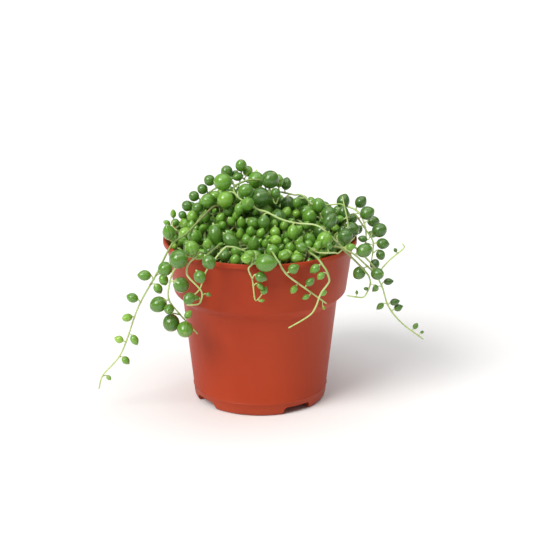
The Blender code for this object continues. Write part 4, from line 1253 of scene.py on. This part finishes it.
def add_crumbs(form, lumps, chance):
    """Crumbs of peat that lie on the soil."""
    for _ in range(CRUMBS):
        ring = SOIL_SMOOTH_FROM * math.sqrt(chance.random())
        angle = chance.uniform(0, 2 * math.pi)
        x, y = ring * math.cos(angle), ring * math.sin(angle)
        size = chance.uniform(0.35, 1.1)
        place = Vector((x, y, SOIL_TOP - SOIL_SUNK + lumps(x, y) + size * 0.4)) * MM
        crumb = bmesh.ops.create_icosphere(form, subdivisions=2, radius=size * MM)
        for vert in crumb["verts"]:
            wide, deep, high = (chance.uniform(*limits) for limits in CRUMB_SQUASH)
            vert.co = vert.co * Vector((wide, deep, high)) + place


def soil_piece(chance):
    """Peat with a crumbly top."""
    form = bmesh.new()
    lumps = soil_lumps(chance)
    add_soil_body(form, lumps)
    add_crumbs(form, lumps, chance)
    soil = new_piece("soil_skin", finished_mesh(form), soil_material())
    soil.data.shade_smooth()
    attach(soil, "root")
    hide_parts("soil")


# ---- studio ----

def sun(name, strength, heading, height, spread, colour):
    """A wide soft light from far away, by its heading from the front (+ is right) and its height."""
    light = bpy.data.lights.new(name, "SUN")
    light.energy = strength
    light.angle = math.radians(spread)
    light.color = colour
    lamp = bpy.data.objects.new(name, light)
    bpy.context.scene.collection.objects.link(lamp)
    lamp.rotation_euler = (math.radians(90.0 - height), 0.0, math.radians(heading))


def studio():
    """A pale floor, an even white sky, a key light from the left and a wide light from above."""
    scene = bpy.context.scene
    scene.view_settings.view_transform = "Standard"
    bpy.ops.mesh.primitive_plane_add(size=30.0, location=(0.0, 0.0, -0.0002))
    floor = bpy.context.object
    floor.name = "studio_floor"
    floor.data.materials.append(floor_material())
    world = bpy.data.worlds.new("studio")
    world.use_nodes = True
    background = world.node_tree.nodes["Background"]
    background.inputs[0].default_value = (1.0, 1.0, 1.0, 1.0)
    background.inputs[1].default_value = WORLD_STRENGTH
    scene.world = world
    sun("key", KEY_STRENGTH, *KEY_SUN)
    sun("top", TOP_STRENGTH, *TOP_SUN)


def camera():
    """The camera at the photo's place and angle."""
    lens = bpy.data.cameras.new("camera")
    lens.lens = CAMERA_LENS
    lens.sensor_width = 36.0
    lens.clip_start = 0.05
    eye = bpy.data.objects.new("camera", lens)
    bpy.context.scene.collection.objects.link(eye)
    eye.location = CAMERA_PLACE
    eye.rotation_euler = (math.radians(90.0 - CAMERA_PITCH), 0.0, math.radians(-CAMERA_YAW))
    bpy.context.scene.camera = eye


def main():
    camera()
    studio()
    chance = random.Random(LOOKS_SEED)
    pot_piece()
    soil_piece(chance)
    plant_materials = [leaf_material(), stem_material()]
    plant = grow_plant()
    for name, path, leaves in plant:
        strand_piece(name, path, leaves, plant_materials, chance)
    filler_pieces(plant, plant_materials, chance)


main()
